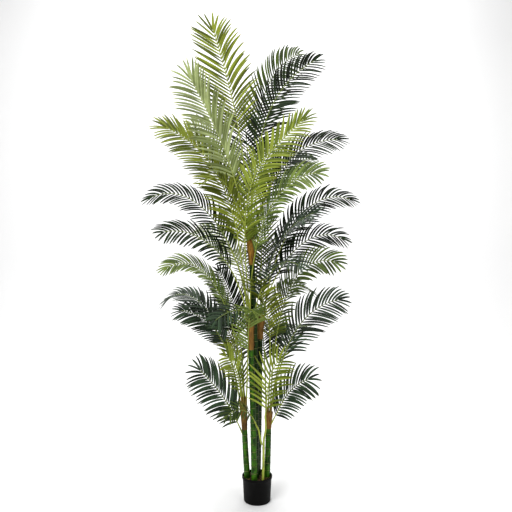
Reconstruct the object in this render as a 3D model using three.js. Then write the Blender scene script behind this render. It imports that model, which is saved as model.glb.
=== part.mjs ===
// An artificial areca palm: five canes and a thin forked stem in a nursery pot, with feather fronds.
// Millimetres, +Z up. The origin is on the floor under the middle of the pot, and the front is -Y.

import * as THREE from "three";

// Pot and its filling
const POT_HEIGHT = 157;
const POT_FLAT_RADIUS = 73;
const POT_EDGE_ROUND = 9;
const POT_SHOULDER_RADIUS = 88.5;
const POT_SHOULDER_HEIGHT = 138;
const POT_RIM_RADIUS = 92.5;
const POT_WALL = 3.2;
const POT_BAND_STEP = 3;
const POT_LIP_BEVEL = 1.5;
const POT_SIDES = 24;
const FILLING_HEIGHT = 143;
const GAP = 0.3;
const FILLING_GAP = 0.5;

// Canes, each from its flat cut on the filling to the foot of its crownshaft
const CANE_FOOT_RADIUS = 18.5;
const CANE_TOP_RADIUS = 17;
const CANE_SIDES = 10;
const CANE_STEP = 130;
const CANES = [
  { crown: "tall", foot: [-7, -4], top: [-32, -5, 1447], bow: [18, 0], shaft: 160, head: [-44, -5] },
  { crown: "front", foot: [-17, -50], top: [-37, -54, 935], bow: [3, -2], shaft: 163, head: [-44, -55] },
  { crown: "rear", foot: [4, 42], top: [17, 42, 986], bow: [4, 3], shaft: 117, head: [24, 42] },
  { crown: "left", foot: [-60, -8], top: [-77, -12, 440], bow: [-3, 0], shaft: 146, head: [-84, -14] },
  { crown: "right", foot: [61, 6], top: [70, 8, 440], bow: [2, 0], shaft: 103, head: [74, 8] },
];

// Crownshafts: fibrous sleeves that flare upwards from the canes
const SHAFT_FOOT_RADIUS = 17.5;
const SHAFT_HEAD_RADIUS = 25;
const SHAFT_LIP = 2.5;
const SHAFT_FLARE = 1.6;
const SHAFT_SECTIONS = [0, 0.35, 0.7, 0.93];

// Thin forked stem
const STEM_SIDES = 8;
const STEM_MAIN = {
  route: [[35, -52, 143.3], [38, -54, 250], [39, -56, 346], [41, -60, 395], [52, -64, 462], [49, -66, 535]],
  radii: [7.5, 7.2, 7.4, 6, 5.4, 5],
};
const STEM_BRANCH = {
  route: [[27, -60, 366], [19, -62, 400], [9, -64, 450], [-6, -67, 482]],
  radii: [5.6, 5.2, 5, 4.8],
};

// Fronds: rib, leaflets and how they stand
const FOOT_RING = 18.5;
const FOOT_INNER_RING = 7.5;
const FOOT_HANDLE = 0.42;
const TIP_HANDLE = 0.34;
const RIB_SHORT = 50;
const RIB_FOOT_WIDTH = 8.4;
const RIB_BLADE_WIDTH = 6.4;
const RIB_TIP_WIDTH = 4.4;
const RIB_DEPTH = 0.9;
const RIB_RIDGE = 0.6;
const SIDE_FOOT_GAP = 0.6;
const PETIOLE_SPANS = 5;
const LEAF_PITCH = 60;
const LEAF_ROOT = 13;
const LEAF_WIDTH = 25;
const LEAF_THICKNESS = 2.8;
const LEAF_WIDEST = 0.42;
const LEAF_FIRST = 0.72;
const LEAF_PEAK = 0.35;
const LEAF_LAST = 0.6;
const LEAF_WANE = 2.2;
const ANGLE_FIRST = 54;
const ANGLE_LAST = 46;
const LENGTH_SPREAD = 0.16;
const LEAN = 6;
const ARCH = -22;
const LEAN_ONSET = 3;
const ANGLE_SPREAD = 8;
const LIFT_SPREAD = 10;
const ANGLE_SEED = 0.37;
const LIFT_SEED = 0.71;
const HAND_SEED = 0.13;
const FROND_SEED = 101;
const LEAF_SAG = 0.4;
const END_LEAF = 0.48;
const SHORTEST_LEAF = 45;
const CLEARANCE = 0.6;

// One row a frond. tip: the middle of its last leaflets. climb and nod: the rib's slope at its foot
// and tip, in degrees. bare: the share of the rib without leaflets. leaf: its longest leaflet. turn:
// how far the blade's upper face turns from the sky to the front, in degrees. fold: how far the
// leaflets stand up. drop: how far below the crownshaft's head the frond leaves its side. The last
// four are given where they aren't the usual ones. rise: how far the foot's slope carries, as a share
// of the way to the tip. lean: how much closer to the rib the leaflets of its upper side start, and
// arch: how far they open on their way out, in degrees. sag: how far leaflets bend down.
const FRONDS = [
  ...frondRing("tall", "inner", [
    { lean: 20, arch: 30, sag: 0.12,
      tip: [-286, 0, 2942], climb: 88, nod: 73, bare: 0.5, leaf: 235, turn: 70, fold: 8, tone: "olive" },
    { tip: [400, 100, 2760], climb: 88, nod: 32, bare: 0.42, leaf: 178, turn: 66, fold: 12, tone: "dark" },
    { tip: [300, 300, 2868], climb: 90, nod: 30, bare: 0.48, leaf: 180, turn: 65, fold: 8, tone: "mid" },
    { tip: [-95, 260, 2490], climb: 90, nod: 55, bare: 0.5, leaf: 170, turn: 0, fold: 15, tone: "dark" },
  ]),
  ...frondRing("tall", "outer", [
    { lean: 24, arch: 12,
      tip: [-415, -150, 2588], climb: 80, nod: 60, bare: 0.38, leaf: 262, turn: 72, fold: 8, tone: "sage" },
    { tip: [-490, 330, 2390], climb: 70, nod: 12, bare: 0.36, leaf: 185, turn: 60, fold: 10, tone: "sage" },
    { tip: [-327, -165, 1922],
      climb: 64, nod: -35, bare: 0.44, leaf: 175, turn: 15, fold: 15, tone: "olive" },
    { tip: [550, 60, 2232], climb: 78, nod: 2, bare: 0.3, leaf: 175, turn: 55, fold: 12, tone: "dark" },
    { tip: [400, 330, 2150], climb: 75, nod: 2, bare: 0.3, leaf: 175, turn: 45, fold: 12, tone: "mid" },
    { tip: [170, 560, 2280], climb: 78, nod: 5, bare: 0.35, leaf: 175, turn: 0, fold: 15, tone: "mid" },
    { tip: [-260, 560, 2120], climb: 72, nod: -5, bare: 0.35, leaf: 175, turn: 0, fold: 15, tone: "dark" },
  ]),
  ...frondRing("front", "inner", [
    { lean: 15, arch: 5,
      tip: [-592, -100, 2292], climb: 84, nod: 24, bare: 0.4, leaf: 205, turn: 62, fold: 10, tone: "olive" },
    { rise: 0.7, lean: 12, arch: 10,
      tip: [312, -90, 2356], climb: 96, nod: 44, bare: 0.36, leaf: 188, turn: 66, fold: 10, tone: "lime" },
    { tip: [370, -330, 1970], climb: 92, nod: 3, bare: 0.4, leaf: 185, turn: 62, fold: 10, tone: "fresh" },
  ]),
  ...frondRing("front", "outer", [
    { tip: [-680, -60, 1838], climb: 90, nod: -24, bare: 0.42, leaf: 160, turn: 50, fold: 12, tone: "dark" },
    { tip: [-566, -330, 1626], climb: 84, nod: -12, bare: 0.42, leaf: 150, turn: 55, fold: 10, tone: "dark" },
    { tip: [-410, 300, 1690], climb: 80, nod: 4, bare: 0.45, leaf: 150, turn: 35, fold: 12, tone: "sage" },
    { tip: [-270, -280, 1110], climb: 76, nod: -30, bare: 0.3, leaf: 125, turn: 38, fold: 12, tone: "blue" },
    { tip: [250, -430, 1430], climb: 78, nod: -25, bare: 0.3, leaf: 160, turn: 20, fold: 15, tone: "blue" },
  ]),
  ...frondRing("rear", "inner", [
    { tip: [355, -280, 1760], climb: 88, nod: 15, bare: 0.34, leaf: 180, turn: 45, fold: 12, tone: "blue" },
    { tip: [60, 430, 1850], climb: 86, nod: 25, bare: 0.4, leaf: 165, turn: -20, fold: 15, tone: "mid" },
  ]),
  ...frondRing("rear", "outer", [
    { tip: [640, 150, 1850], climb: 86, nod: -18, bare: 0.4, leaf: 162, turn: 50, fold: 12, tone: "dark" },
    { tip: [565, 20, 1590], climb: 79, nod: -26, bare: 0.38, leaf: 157, turn: 50, fold: 12, tone: "dark" },
    { tip: [390, 350, 1230], climb: 70, nod: -40, bare: 0.36, leaf: 155, turn: 25, fold: 12, tone: "mid" },
    { tip: [180, 560, 1600], climb: 75, nod: -8, bare: 0.28, leaf: 170, turn: 0, fold: 15, tone: "dark" },
    { tip: [-230, 540, 1520], climb: 75, nod: -15, bare: 0.35, leaf: 165, turn: 0, fold: 15, tone: "olive" },
  ]),
  ...frondRing("left", "inner", [
    { tip: [-565, -200, 1408],
      climb: 90, nod: -30, bare: 0.52, leaf: 140, turn: 40, fold: 12, tone: "fresh" },
    { tip: [-271, 250, 1436], climb: 88, nod: 45, bare: 0.5, leaf: 150, turn: 35, fold: 12, tone: "dark" },
    { tip: [-612, 180, 1180], climb: 92, nod: -44, bare: 0.5, leaf: 165, turn: 20, fold: 12, tone: "blue" },
  ]),
  ...frondRing("left", "outer", [
    { tip: [-214, -120, 940], climb: 80, nod: 45, bare: 0.3, leaf: 140, turn: 78, fold: 14, tone: "lime" },
    { tip: [-520, 60, 1165], climb: 82, nod: 5, bare: 0.54, leaf: 150, turn: 45, fold: 12, tone: "blue" },
    { tip: [-282, 300, 1150], climb: 82, nod: 30, bare: 0.56, leaf: 150, turn: 45, fold: 12, tone: "olive" },
    { rise: 0.5,
      tip: [-5, -235, 1140], climb: 76, nod: -35, bare: 0.52, leaf: 130, turn: 0, fold: 12, tone: "fresh" },
    { tip: [-250, 470, 930], climb: 70, nod: -5, bare: 0.45, leaf: 160, turn: 0, fold: 15, tone: "mid" },
  ]),
  ...frondRing("left", "side", [
    { drop: 165,
      tip: [-365, -150, 865], climb: 66, nod: 48, bare: 0.16, leaf: 190, turn: 75, fold: 10, tone: "blue" },
  ]),
  ...frondRing("right", "inner", [
    { rise: 0.52,
      tip: [-60, -230, 1376], climb: 98, nod: 25, bare: 0.5, leaf: 165, turn: 0, fold: 15, tone: "olive" },
    { tip: [490, -230, 1459], climb: 88, nod: -12, bare: 0.42, leaf: 175, turn: 60, fold: 12, tone: "mid" },
  ]),
  ...frondRing("right", "outer", [
    { tip: [560, 80, 1236], climb: 80, nod: 10, bare: 0.44, leaf: 180, turn: 60, fold: 12, tone: "blue" },
    { tip: [330, 430, 1020], climb: 74, nod: -5, bare: 0.45, leaf: 160, turn: 0, fold: 15, tone: "mid" },
    { tip: [20, 480, 1050], climb: 76, nod: 0, bare: 0.45, leaf: 160, turn: 0, fold: 15, tone: "dark" },
  ]),
  ...frondRing("right", "side", [
    { drop: 70,
      tip: [345, -120, 788], climb: 62, nod: 25, bare: 0.16, leaf: 178, turn: 70, fold: 10, tone: "blue" },
  ]),
  ...frondRing("thin_left", "tip", [
    { tip: [-205, -205, 545], climb: 70, nod: -35, bare: 0.15, leaf: 115, turn: 30, fold: 10, tone: "mid" },
  ]),
  ...frondRing("thin_right", "tip", [
    { tip: [162, -88, 925], climb: 84, nod: 55, bare: 0.14, leaf: 180, turn: 84, fold: 22, tone: "lime" },
  ]),
];

const TONES = {
  lime: "#7e9037",
  olive: "#748228",
  sage: "#93a268",
  fresh: "#76883f",
  mid: "#50602e",
  dark: "#223419",
  blue: "#2d4030",
};

const UP = new THREE.Vector3(0, 0, 1);
const FRONT = new THREE.Vector3(0, -1, 0);
const radians = THREE.MathUtils.degToRad;
const mix = THREE.MathUtils.lerp;

function frondRing(crown, ring, rows) {
  return rows.map((row) => ({ crown, ring, ...row }));
}

const palm = new THREE.Group();

function addNode(name, geometry, color, roughness) {
  const finish = new THREE.MeshStandardMaterial({ color, roughness, metalness: 0 });
  const mesh = new THREE.Mesh(geometry, finish);
  mesh.name = name;
  palm.add(mesh);
}

function solidFrom(corners, faces) {
  const geometry = new THREE.BufferGeometry();
  const places = corners.flatMap((corner) => [corner.x, corner.y, corner.z]);
  geometry.setAttribute("position", new THREE.Float32BufferAttribute(places, 3));
  geometry.setIndex(faces.flat());
  geometry.computeVertexNormals();
  return geometry;
}

// A closed limb of round sections: rings holds one list of corners a section, from foot to tip.
function limbFromRings(rings) {
  const sides = rings[0].length;
  const faces = [];
  for (let ring = 0; ring + 1 < rings.length; ring += 1) {
    for (let side = 0; side < sides; side += 1) {
      const next = (side + 1) % sides;
      const low = ring * sides;
      const high = low + sides;
      faces.push([low + side, low + next, high + next]);
      faces.push([low + side, high + next, high + side]);
    }
  }
  const last = (rings.length - 1) * sides;
  for (let side = 1; side + 1 < sides; side += 1) {
    faces.push([0, side + 1, side]);
    faces.push([last, last + side, last + side + 1]);
  }
  return solidFrom(rings.flat(), faces);
}

function levelRing(centre, radius, sides) {
  const ring = [];
  for (let side = 0; side < sides; side += 1) {
    const angle = (2 * Math.PI * side) / sides;
    ring.push(new THREE.Vector3(
      centre.x + radius * Math.cos(angle),
      centre.y + radius * Math.sin(angle),
      centre.z,
    ));
  }
  return ring;
}

// Pot: a lathed shell with a rounded foot and a proud rim band
function potWallRadius(height) {
  const share = height / POT_SHOULDER_HEIGHT;
  return mix(POT_FLAT_RADIUS + POT_EDGE_ROUND, POT_SHOULDER_RADIUS, share);
}

function addPot() {
  const outline = [new THREE.Vector2(0, 0), new THREE.Vector2(POT_FLAT_RADIUS, 0)];
  for (const angle of [30, 60]) {
    outline.push(new THREE.Vector2(
      POT_FLAT_RADIUS + POT_EDGE_ROUND * Math.sin(radians(angle)),
      POT_EDGE_ROUND * (1 - Math.cos(radians(angle))),
    ));
  }
  outline.push(new THREE.Vector2(potWallRadius(POT_EDGE_ROUND), POT_EDGE_ROUND));
  outline.push(new THREE.Vector2(POT_SHOULDER_RADIUS, POT_SHOULDER_HEIGHT));
  outline.push(new THREE.Vector2(POT_RIM_RADIUS, POT_SHOULDER_HEIGHT + POT_BAND_STEP));
  outline.push(new THREE.Vector2(POT_RIM_RADIUS, POT_HEIGHT - POT_LIP_BEVEL));
  outline.push(new THREE.Vector2(POT_RIM_RADIUS - POT_LIP_BEVEL, POT_HEIGHT));
  outline.push(new THREE.Vector2(POT_RIM_RADIUS - POT_WALL, POT_HEIGHT));
  outline.push(new THREE.Vector2(POT_SHOULDER_RADIUS - POT_WALL, POT_SHOULDER_HEIGHT));
  outline.push(new THREE.Vector2(potWallRadius(POT_WALL) - POT_WALL, POT_WALL));
  outline.push(new THREE.Vector2(0, POT_WALL));
  const shell = new THREE.LatheGeometry(outline, POT_SIDES);
  shell.rotateX(Math.PI / 2);
  addNode("pot", shell, "#17130f", 0.6);
}

// Filling: one body of set mix up to just under the rim
function addFilling() {
  const low = POT_WALL + FILLING_GAP;
  const inset = POT_WALL + FILLING_GAP;
  const bandShare = (FILLING_HEIGHT - POT_SHOULDER_HEIGHT) / (POT_HEIGHT - POT_SHOULDER_HEIGHT);
  const outline = [
    new THREE.Vector2(0, low),
    new THREE.Vector2(potWallRadius(low) - inset, low),
    new THREE.Vector2(POT_SHOULDER_RADIUS - inset, POT_SHOULDER_HEIGHT),
    new THREE.Vector2(mix(POT_SHOULDER_RADIUS, POT_RIM_RADIUS, bandShare) - inset, FILLING_HEIGHT),
    new THREE.Vector2(0, FILLING_HEIGHT),
  ];
  const body = new THREE.LatheGeometry(outline, POT_SIDES);
  body.rotateX(Math.PI / 2);
  addNode("pot_filling", body, "#2a2119", 0.95);
}

// Canes and crownshafts
function addCane(cane) {
  const foot = new THREE.Vector3(cane.foot[0], cane.foot[1], FILLING_HEIGHT + GAP);
  const top = new THREE.Vector3(...cane.top);
  const middle = foot.clone().lerp(top, 0.5);
  middle.x += cane.bow[0];
  middle.y += cane.bow[1];
  const line = new THREE.QuadraticBezierCurve3(foot, middle, top);
  const spans = Math.round((top.z - foot.z) / CANE_STEP);
  const rings = [];
  for (let span = 0; span <= spans; span += 1) {
    const share = span / spans;
    const radius = mix(CANE_FOOT_RADIUS, CANE_TOP_RADIUS, share);
    rings.push(levelRing(line.getPoint(share), radius, CANE_SIDES));
  }
  addNode(`cane_${cane.crown}`, limbFromRings(rings), "#55683a", 0.5);
}

function shaftHead(cane) {
  return new THREE.Vector3(cane.head[0], cane.head[1], cane.top[2] + GAP + cane.shaft);
}

function shaftRadius(share) {
  return mix(SHAFT_FOOT_RADIUS, SHAFT_HEAD_RADIUS, share * share * mix(SHAFT_FLARE, 1, share));
}

function addCrownshaft(cane) {
  const foot = new THREE.Vector3(cane.top[0], cane.top[1], cane.top[2] + GAP);
  const head = shaftHead(cane);
  const rings = [];
  for (const share of SHAFT_SECTIONS) {
    rings.push(levelRing(foot.clone().lerp(head, share), shaftRadius(share), CANE_SIDES));
  }
  rings.push(levelRing(head, SHAFT_HEAD_RADIUS - SHAFT_LIP, CANE_SIDES));
  addNode(`crownshaft_${cane.crown}`, limbFromRings(rings), "#8a5a2c", 0.85);
}

// Thin forked stem: a main limb, and a branch that leaves its side
function crossRing(centre, along, radius, sides) {
  const across = new THREE.Vector3().crossVectors(FRONT, along).normalize();
  const over = new THREE.Vector3().crossVectors(along, across).normalize();
  const ring = [];
  for (let side = 0; side < sides; side += 1) {
    const angle = (2 * Math.PI * side) / sides;
    ring.push(centre.clone()
      .addScaledVector(across, radius * Math.cos(angle))
      .addScaledVector(over, radius * Math.sin(angle)));
  }
  return ring;
}

function stemLine(stem) {
  return new THREE.CatmullRomCurve3(stem.route.map((place) => new THREE.Vector3(...place)));
}

function addStem(name, stem) {
  const line = stemLine(stem);
  const rings = stem.route.map((place, index) => {
    const along = index === 0 ? UP : line.getTangent(index / (stem.route.length - 1));
    return crossRing(new THREE.Vector3(...place), along, stem.radii[index], STEM_SIDES);
  });
  addNode(name, limbFromRings(rings), "#9aa040", 0.5);
}

// Frond feet: those of one ring stand evenly round the crownshaft's head, in the order of their bearings
function bearingFrom(centre, tip) {
  return Math.atan2(tip[1] - centre.y, tip[0] - centre.x);
}

function frondsOf(cane, ringName) {
  return FRONDS.filter((frond) => frond.crown === cane.crown && frond.ring === ringName);
}

function ringFeet(cane, ringName, radius) {
  const head = shaftHead(cane);
  const fronds = frondsOf(cane, ringName);
  fronds.sort((one, other) => bearingFrom(head, one.tip) - bearingFrom(head, other.tip));
  const pitch = (2 * Math.PI) / fronds.length;
  let shift = 0;
  fronds.forEach((frond, place) => {
    shift += (bearingFrom(head, frond.tip) - place * pitch) / fronds.length;
  });
  fronds.forEach((frond, place) => {
    const angle = shift + place * pitch;
    frond.foot = head.clone().add(new THREE.Vector3(
      radius * Math.cos(angle),
      radius * Math.sin(angle),
      GAP,
    ));
    frond.cut = UP;
  });
}

// A frond that leaves the side of its crownshaft, or of the cane under it, stands clear of the middle
// of one of its flats
function sideFeet(cane) {
  const head = shaftHead(cane);
  const flat = (2 * Math.PI) / CANE_SIDES;
  for (const frond of frondsOf(cane, "side")) {
    const angle = (Math.floor(bearingFrom(head, frond.tip) / flat) + 0.5) * flat;
    const share = 1 - frond.drop / cane.shaft;
    const axis = new THREE.Vector3(...cane.top).lerp(head, share);
    const carrier = share < 0 ? CANE_TOP_RADIUS : shaftRadius(share);
    const radius = carrier * Math.cos(flat / 2) + SIDE_FOOT_GAP;
    frond.cut = new THREE.Vector3(Math.cos(angle), Math.sin(angle), 0);
    frond.foot = axis.addScaledVector(frond.cut, radius);
  }
}

function ribLine(frond) {
  const tip = new THREE.Vector3(...frond.tip);
  const outward = new THREE.Vector3(tip.x - frond.foot.x, tip.y - frond.foot.y, 0).normalize();
  const span = frond.foot.distanceTo(tip);
  const slope = (angle) => outward.clone().multiplyScalar(Math.cos(radians(angle)))
    .addScaledVector(UP, Math.sin(radians(angle)));
  const end = tip.clone().addScaledVector(slope(frond.nod), -RIB_SHORT);
  const line = new THREE.CubicBezierCurve3(
    frond.foot,
    frond.foot.clone().addScaledVector(slope(frond.climb), span * (frond.rise ?? FOOT_HANDLE)),
    end.clone().addScaledVector(slope(frond.nod), -span * TIP_HANDLE),
    end,
  );
  return { line, outward, length: line.getLength() };
}

// The rib's own axes at a share of its length: along it, across its blade, and out of its upper face
function ribFrame(rib, frond, share) {
  const along = rib.line.getTangentAt(share);
  const flatSide = new THREE.Vector3().crossVectors(rib.outward, UP).normalize();
  const flatFace = new THREE.Vector3().crossVectors(flatSide, along).normalize();
  const toFront = flatSide.dot(FRONT) >= 0 ? 1 : -1;
  const turn = radians(frond.turn) * toFront;
  return {
    centre: rib.line.getPointAt(share),
    along,
    side: flatSide.clone().multiplyScalar(Math.cos(turn)).addScaledVector(flatFace, -Math.sin(turn)),
    face: flatFace.clone().multiplyScalar(Math.cos(turn)).addScaledVector(flatSide, Math.sin(turn)),
  };
}

function ribWidth(frond, share) {
  if (share < frond.bare) {
    return mix(RIB_FOOT_WIDTH, RIB_BLADE_WIDTH, share / frond.bare);
  }
  return mix(RIB_BLADE_WIDTH, RIB_TIP_WIDTH, (share - frond.bare) / (1 - frond.bare));
}

// Three corners of the rib's section: the ridge, then the edges on the sides +1 and -1. The foot is
// cut flat against what carries it.
function ribSection(rib, frond, share) {
  const { centre, along, side, face } = ribFrame(rib, frond, share);
  const width = ribWidth(frond, share);
  const depth = width * RIB_DEPTH;
  const low = centre.clone().addScaledVector(face, -depth * (1 - RIB_RIDGE));
  const corners = [
    centre.clone().addScaledVector(face, depth * RIB_RIDGE),
    low.clone().addScaledVector(side, width / 2),
    low.clone().addScaledVector(side, -width / 2),
  ];
  if (share === 0) {
    for (const corner of corners) {
      const past = corner.clone().sub(frond.foot).dot(frond.cut) / along.dot(frond.cut);
      corner.addScaledVector(along, -past);
    }
  }
  return corners;
}

// Leaflet length and angle along the blade, from 0 at its first pair to 1 at its end
function leafShare(place) {
  if (place < LEAF_PEAK) {
    return mix(LEAF_FIRST, 1, Math.sin((Math.PI / 2) * (place / LEAF_PEAK)));
  }
  return mix(1, LEAF_LAST, ((place - LEAF_PEAK) / (1 - LEAF_PEAK)) ** LEAF_WANE);
}

// On the side that points up the leaflets lean to the rib and arch. The solids' straight ones take
// the middle of that.
function leafAngle(place, frond, frame, hand) {
  const upward = Math.min(Math.max(LEAN_ONSET * hand * frame.side.z, 0), 1);
  const turned = (frond.arch ?? ARCH) / 2 - (frond.lean ?? LEAN);
  return mix(ANGLE_FIRST, ANGLE_LAST, place) + turned * upward;
}

// An even scatter from 0 to 1, the same each time for the same seed
function scatter(seed) {
  const wave = Math.sin(seed * 12.9898) * 43758.5453;
  return wave - Math.floor(wave);
}

// Corners of one leaflet past its root: fore edge, hind edge and ridge where it is widest, then its tip
function leafCorners(root, frame, hand, length, angle, lift, sag, margin) {
  const { along, side, face } = frame;
  const outward = side.clone().multiplyScalar(hand * Math.cos(lift)).addScaledVector(face, Math.sin(lift));
  const reach = along.clone().multiplyScalar(Math.cos(angle)).addScaledVector(outward, Math.sin(angle));
  const fore = along.clone().addScaledVector(reach, -along.dot(reach)).normalize();
  const ridge = new THREE.Vector3().crossVectors(fore, reach).multiplyScalar(hand).normalize();
  if (ridge.dot(face) < 0) {
    ridge.negate();
  }
  const widest = root.clone().addScaledVector(reach, length * LEAF_WIDEST);
  const bent = reach.clone().addScaledVector(UP, -sag).normalize();
  const halfWidth = LEAF_WIDTH / 2 + margin;
  const low = widest.clone().addScaledVector(ridge, -margin);
  return [
    widest.clone().addScaledVector(ridge, LEAF_THICKNESS + margin),
    low.clone().addScaledVector(fore, halfWidth),
    low.clone().addScaledVector(fore, -halfWidth),
    widest.clone().addScaledVector(bent, length * (1 - LEAF_WIDEST) + margin),
  ];
}

// Space already taken, in a coarse grid of triangles
const CELL = 70;
const taken = new Map();

function cellsOf(corners) {
  const low = corners[0].clone();
  const high = corners[0].clone();
  for (const corner of corners) {
    low.min(corner);
    high.max(corner);
  }
  const cells = [];
  for (let x = Math.floor(low.x / CELL); x <= Math.floor(high.x / CELL); x += 1) {
    for (let y = Math.floor(low.y / CELL); y <= Math.floor(high.y / CELL); y += 1) {
      for (let z = Math.floor(low.z / CELL); z <= Math.floor(high.z / CELL); z += 1) {
        cells.push(`${x},${y},${z}`);
      }
    }
  }
  return cells;
}

function take(owner, triangles) {
  for (const corners of triangles) {
    for (const cell of cellsOf(corners)) {
      if (!taken.has(cell)) {
        taken.set(cell, []);
      }
      taken.get(cell).push({ owner, corners });
    }
  }
}

function edgeMeets(start, end, corners) {
  const edge = new THREE.Vector3().subVectors(end, start);
  const first = new THREE.Vector3().subVectors(corners[1], corners[0]);
  const second = new THREE.Vector3().subVectors(corners[2], corners[0]);
  const across = new THREE.Vector3().crossVectors(edge, second);
  const volume = first.dot(across);
  if (Math.abs(volume) < 1e-9) {
    return false;
  }
  const from = new THREE.Vector3().subVectors(start, corners[0]);
  const shareFirst = from.dot(across) / volume;
  const over = new THREE.Vector3().crossVectors(from, first);
  const shareSecond = edge.dot(over) / volume;
  const along = second.dot(over) / volume;
  return shareFirst >= 0 && shareSecond >= 0 && shareFirst + shareSecond <= 1 && along >= 0 && along <= 1;
}

function trianglesMeet(one, other) {
  for (let corner = 0; corner < 3; corner += 1) {
    const next = (corner + 1) % 3;
    if (edgeMeets(one[corner], one[next], other) || edgeMeets(other[corner], other[next], one)) {
      return true;
    }
  }
  return false;
}

function isFree(owners, triangles) {
  return triangles.every((corners) => {
    const others = cellsOf(corners).flatMap((cell) => taken.get(cell) ?? []);
    return others.every((piece) => owners.includes(piece.owner) || !trianglesMeet(corners, piece.corners));
  });
}

function trianglesOf(geometry) {
  const places = geometry.getAttribute("position");
  const order = geometry.index.array;
  const triangles = [];
  for (let at = 0; at < order.length; at += 3) {
    triangles.push([0, 1, 2].map((corner) => (
      new THREE.Vector3().fromBufferAttribute(places, order[at + corner])
    )));
  }
  return triangles;
}

// Faces of a leaflet, from its four root corners to its widest section and tip
const LEAF_FACES = [
  [0, 4, 1], [1, 4, 5], [1, 5, 2], [2, 5, 6], [2, 6, 3], [3, 6, 0], [0, 6, 4],
  [4, 7, 5], [5, 7, 6], [6, 7, 4],
];

function leafTriangles(corners) {
  return LEAF_FACES.map((face) => face.map((corner) => corners[corner]));
}

// Ways a leaflet may give way to its neighbours: its length, then its swing and lift in degrees
const YIELDS = [
  [1, 0, 0], [1, 0, 10], [1, 0, -10], [1, -9, 0], [1, 9, 0], [1, -8, 18], [1, -8, -18],
  [0.75, 0, 0], [0.75, 0, 14], [0.75, 0, -14], [0.55, 0, 0], [0.5, -10, 12], [0.4, 0, 0],
];

function growLeaf(name, frond, rib, rootCorners, share, place, hand, seed) {
  const frame = ribFrame(rib, frond, share);
  const root = rootCorners.reduce((sum, corner) => sum.add(corner), new THREE.Vector3()).divideScalar(4);
  const length = frond.leaf * leafShare(place) * (1 + LENGTH_SPREAD * (scatter(seed) - 0.5));
  const turned = ANGLE_SPREAD * (scatter(seed + ANGLE_SEED) - 0.5);
  const angle = leafAngle(place, frond, frame, hand) + turned;
  const lift = frond.fold + LIFT_SPREAD * (scatter(seed + LIFT_SEED) - 0.5);
  for (const [shorten, swing, raise] of YIELDS) {
    const size = Math.max(length * shorten, SHORTEST_LEAF);
    const pose = [radians(angle + swing), radians(lift + raise), frond.sag ?? LEAF_SAG];
    const swollen = leafCorners(root, frame, hand, size, ...pose, CLEARANCE);
    if (isFree([name, `${name}/${-hand}`], leafTriangles([...rootCorners, ...swollen]))) {
      return leafCorners(root, frame, hand, size, ...pose, 0);
    }
  }
  return null;
}

// A frond's stations: its petiole's, then two for each leaflet pair, and its end
function frondStations(frond, rib) {
  const bladeLength = rib.length * (1 - frond.bare);
  const pairs = Math.round(bladeLength / LEAF_PITCH);
  const stations = [];
  for (let span = 0; span < PETIOLE_SPANS; span += 1) {
    stations.push({ share: (frond.bare * span) / PETIOLE_SPANS, leafy: false });
  }
  for (let pair = 0; pair < pairs; pair += 1) {
    const place = pair / pairs;
    const share = frond.bare + (1 - frond.bare) * place;
    stations.push({ share, leafy: true, place });
    stations.push({ share: share + LEAF_ROOT / rib.length, leafy: false });
  }
  stations.push({ share: 1, leafy: false });
  return stations;
}

function ribGeometry(frond, rib, stations) {
  return limbFromRings(stations.map((station) => ribSection(rib, frond, station.share)));
}

function frondGeometry(name, frond, rib, stations, seed) {
  const corners = stations.flatMap((station) => ribSection(rib, frond, station.share));
  const faces = [[0, 2, 1]];
  stations.slice(0, -1).forEach((station, index) => {
    const low = index * 3;
    const high = low + 3;
    faces.push([low + 1, low + 2, high + 2], [low + 1, high + 2, high + 1]);
    for (const hand of [1, -1]) {
      const edge = hand > 0 ? 1 : 2;
      const root = [low, high, high + edge, low + edge];
      const wind = (face) => (hand > 0 ? face : [face[0], face[2], face[1]]);
      const share = (station.share + stations[index + 1].share) / 2;
      const rootCorners = root.map((corner) => corners[corner]);
      const leafSeed = seed + index + hand * HAND_SEED;
      const leaf = station.leafy
        ? growLeaf(name, frond, rib, rootCorners, share, station.place, hand, leafSeed)
        : null;
      if (leaf) {
        const order = [...root, ...leaf.map((corner, offset) => corners.length + offset)];
        take(`${name}/${hand}`, leafTriangles([...rootCorners, ...leaf]));
        corners.push(...leaf);
        faces.push(...LEAF_FACES.map((face) => wind(face.map((corner) => order[corner]))));
      } else {
        faces.push(wind([root[0], root[3], root[2]]), wind([root[0], root[2], root[1]]));
      }
    }
  });
  const end = (stations.length - 1) * 3;
  const frame = ribFrame(rib, frond, 1);
  const bud = rib.line.getPointAt(1).addScaledVector(frame.along, frond.leaf * END_LEAF);
  corners.push(bud);
  const last = corners.length - 1;
  faces.push([end, end + 1, last], [end + 1, end + 2, last], [end + 2, end, last]);
  return solidFrom(corners, faces);
}

addPot();
addFilling();
CANES.forEach(addCane);
CANES.forEach(addCrownshaft);
addStem("thin_stem", STEM_MAIN);
addStem("thin_stem_branch", STEM_BRANCH);
palm.children.forEach((mesh) => take(mesh.name, trianglesOf(mesh.geometry)));

for (const cane of CANES) {
  ringFeet(cane, "inner", FOOT_INNER_RING);
  ringFeet(cane, "outer", FOOT_RING);
  sideFeet(cane);
}
const stems = { thin_left: STEM_BRANCH, thin_right: STEM_MAIN };
for (const frond of FRONDS.filter((one) => one.ring === "tip")) {
  const line = stemLine(stems[frond.crown]);
  frond.cut = line.getTangent(1);
  frond.foot = line.getPoint(1).addScaledVector(frond.cut, GAP);
}

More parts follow.
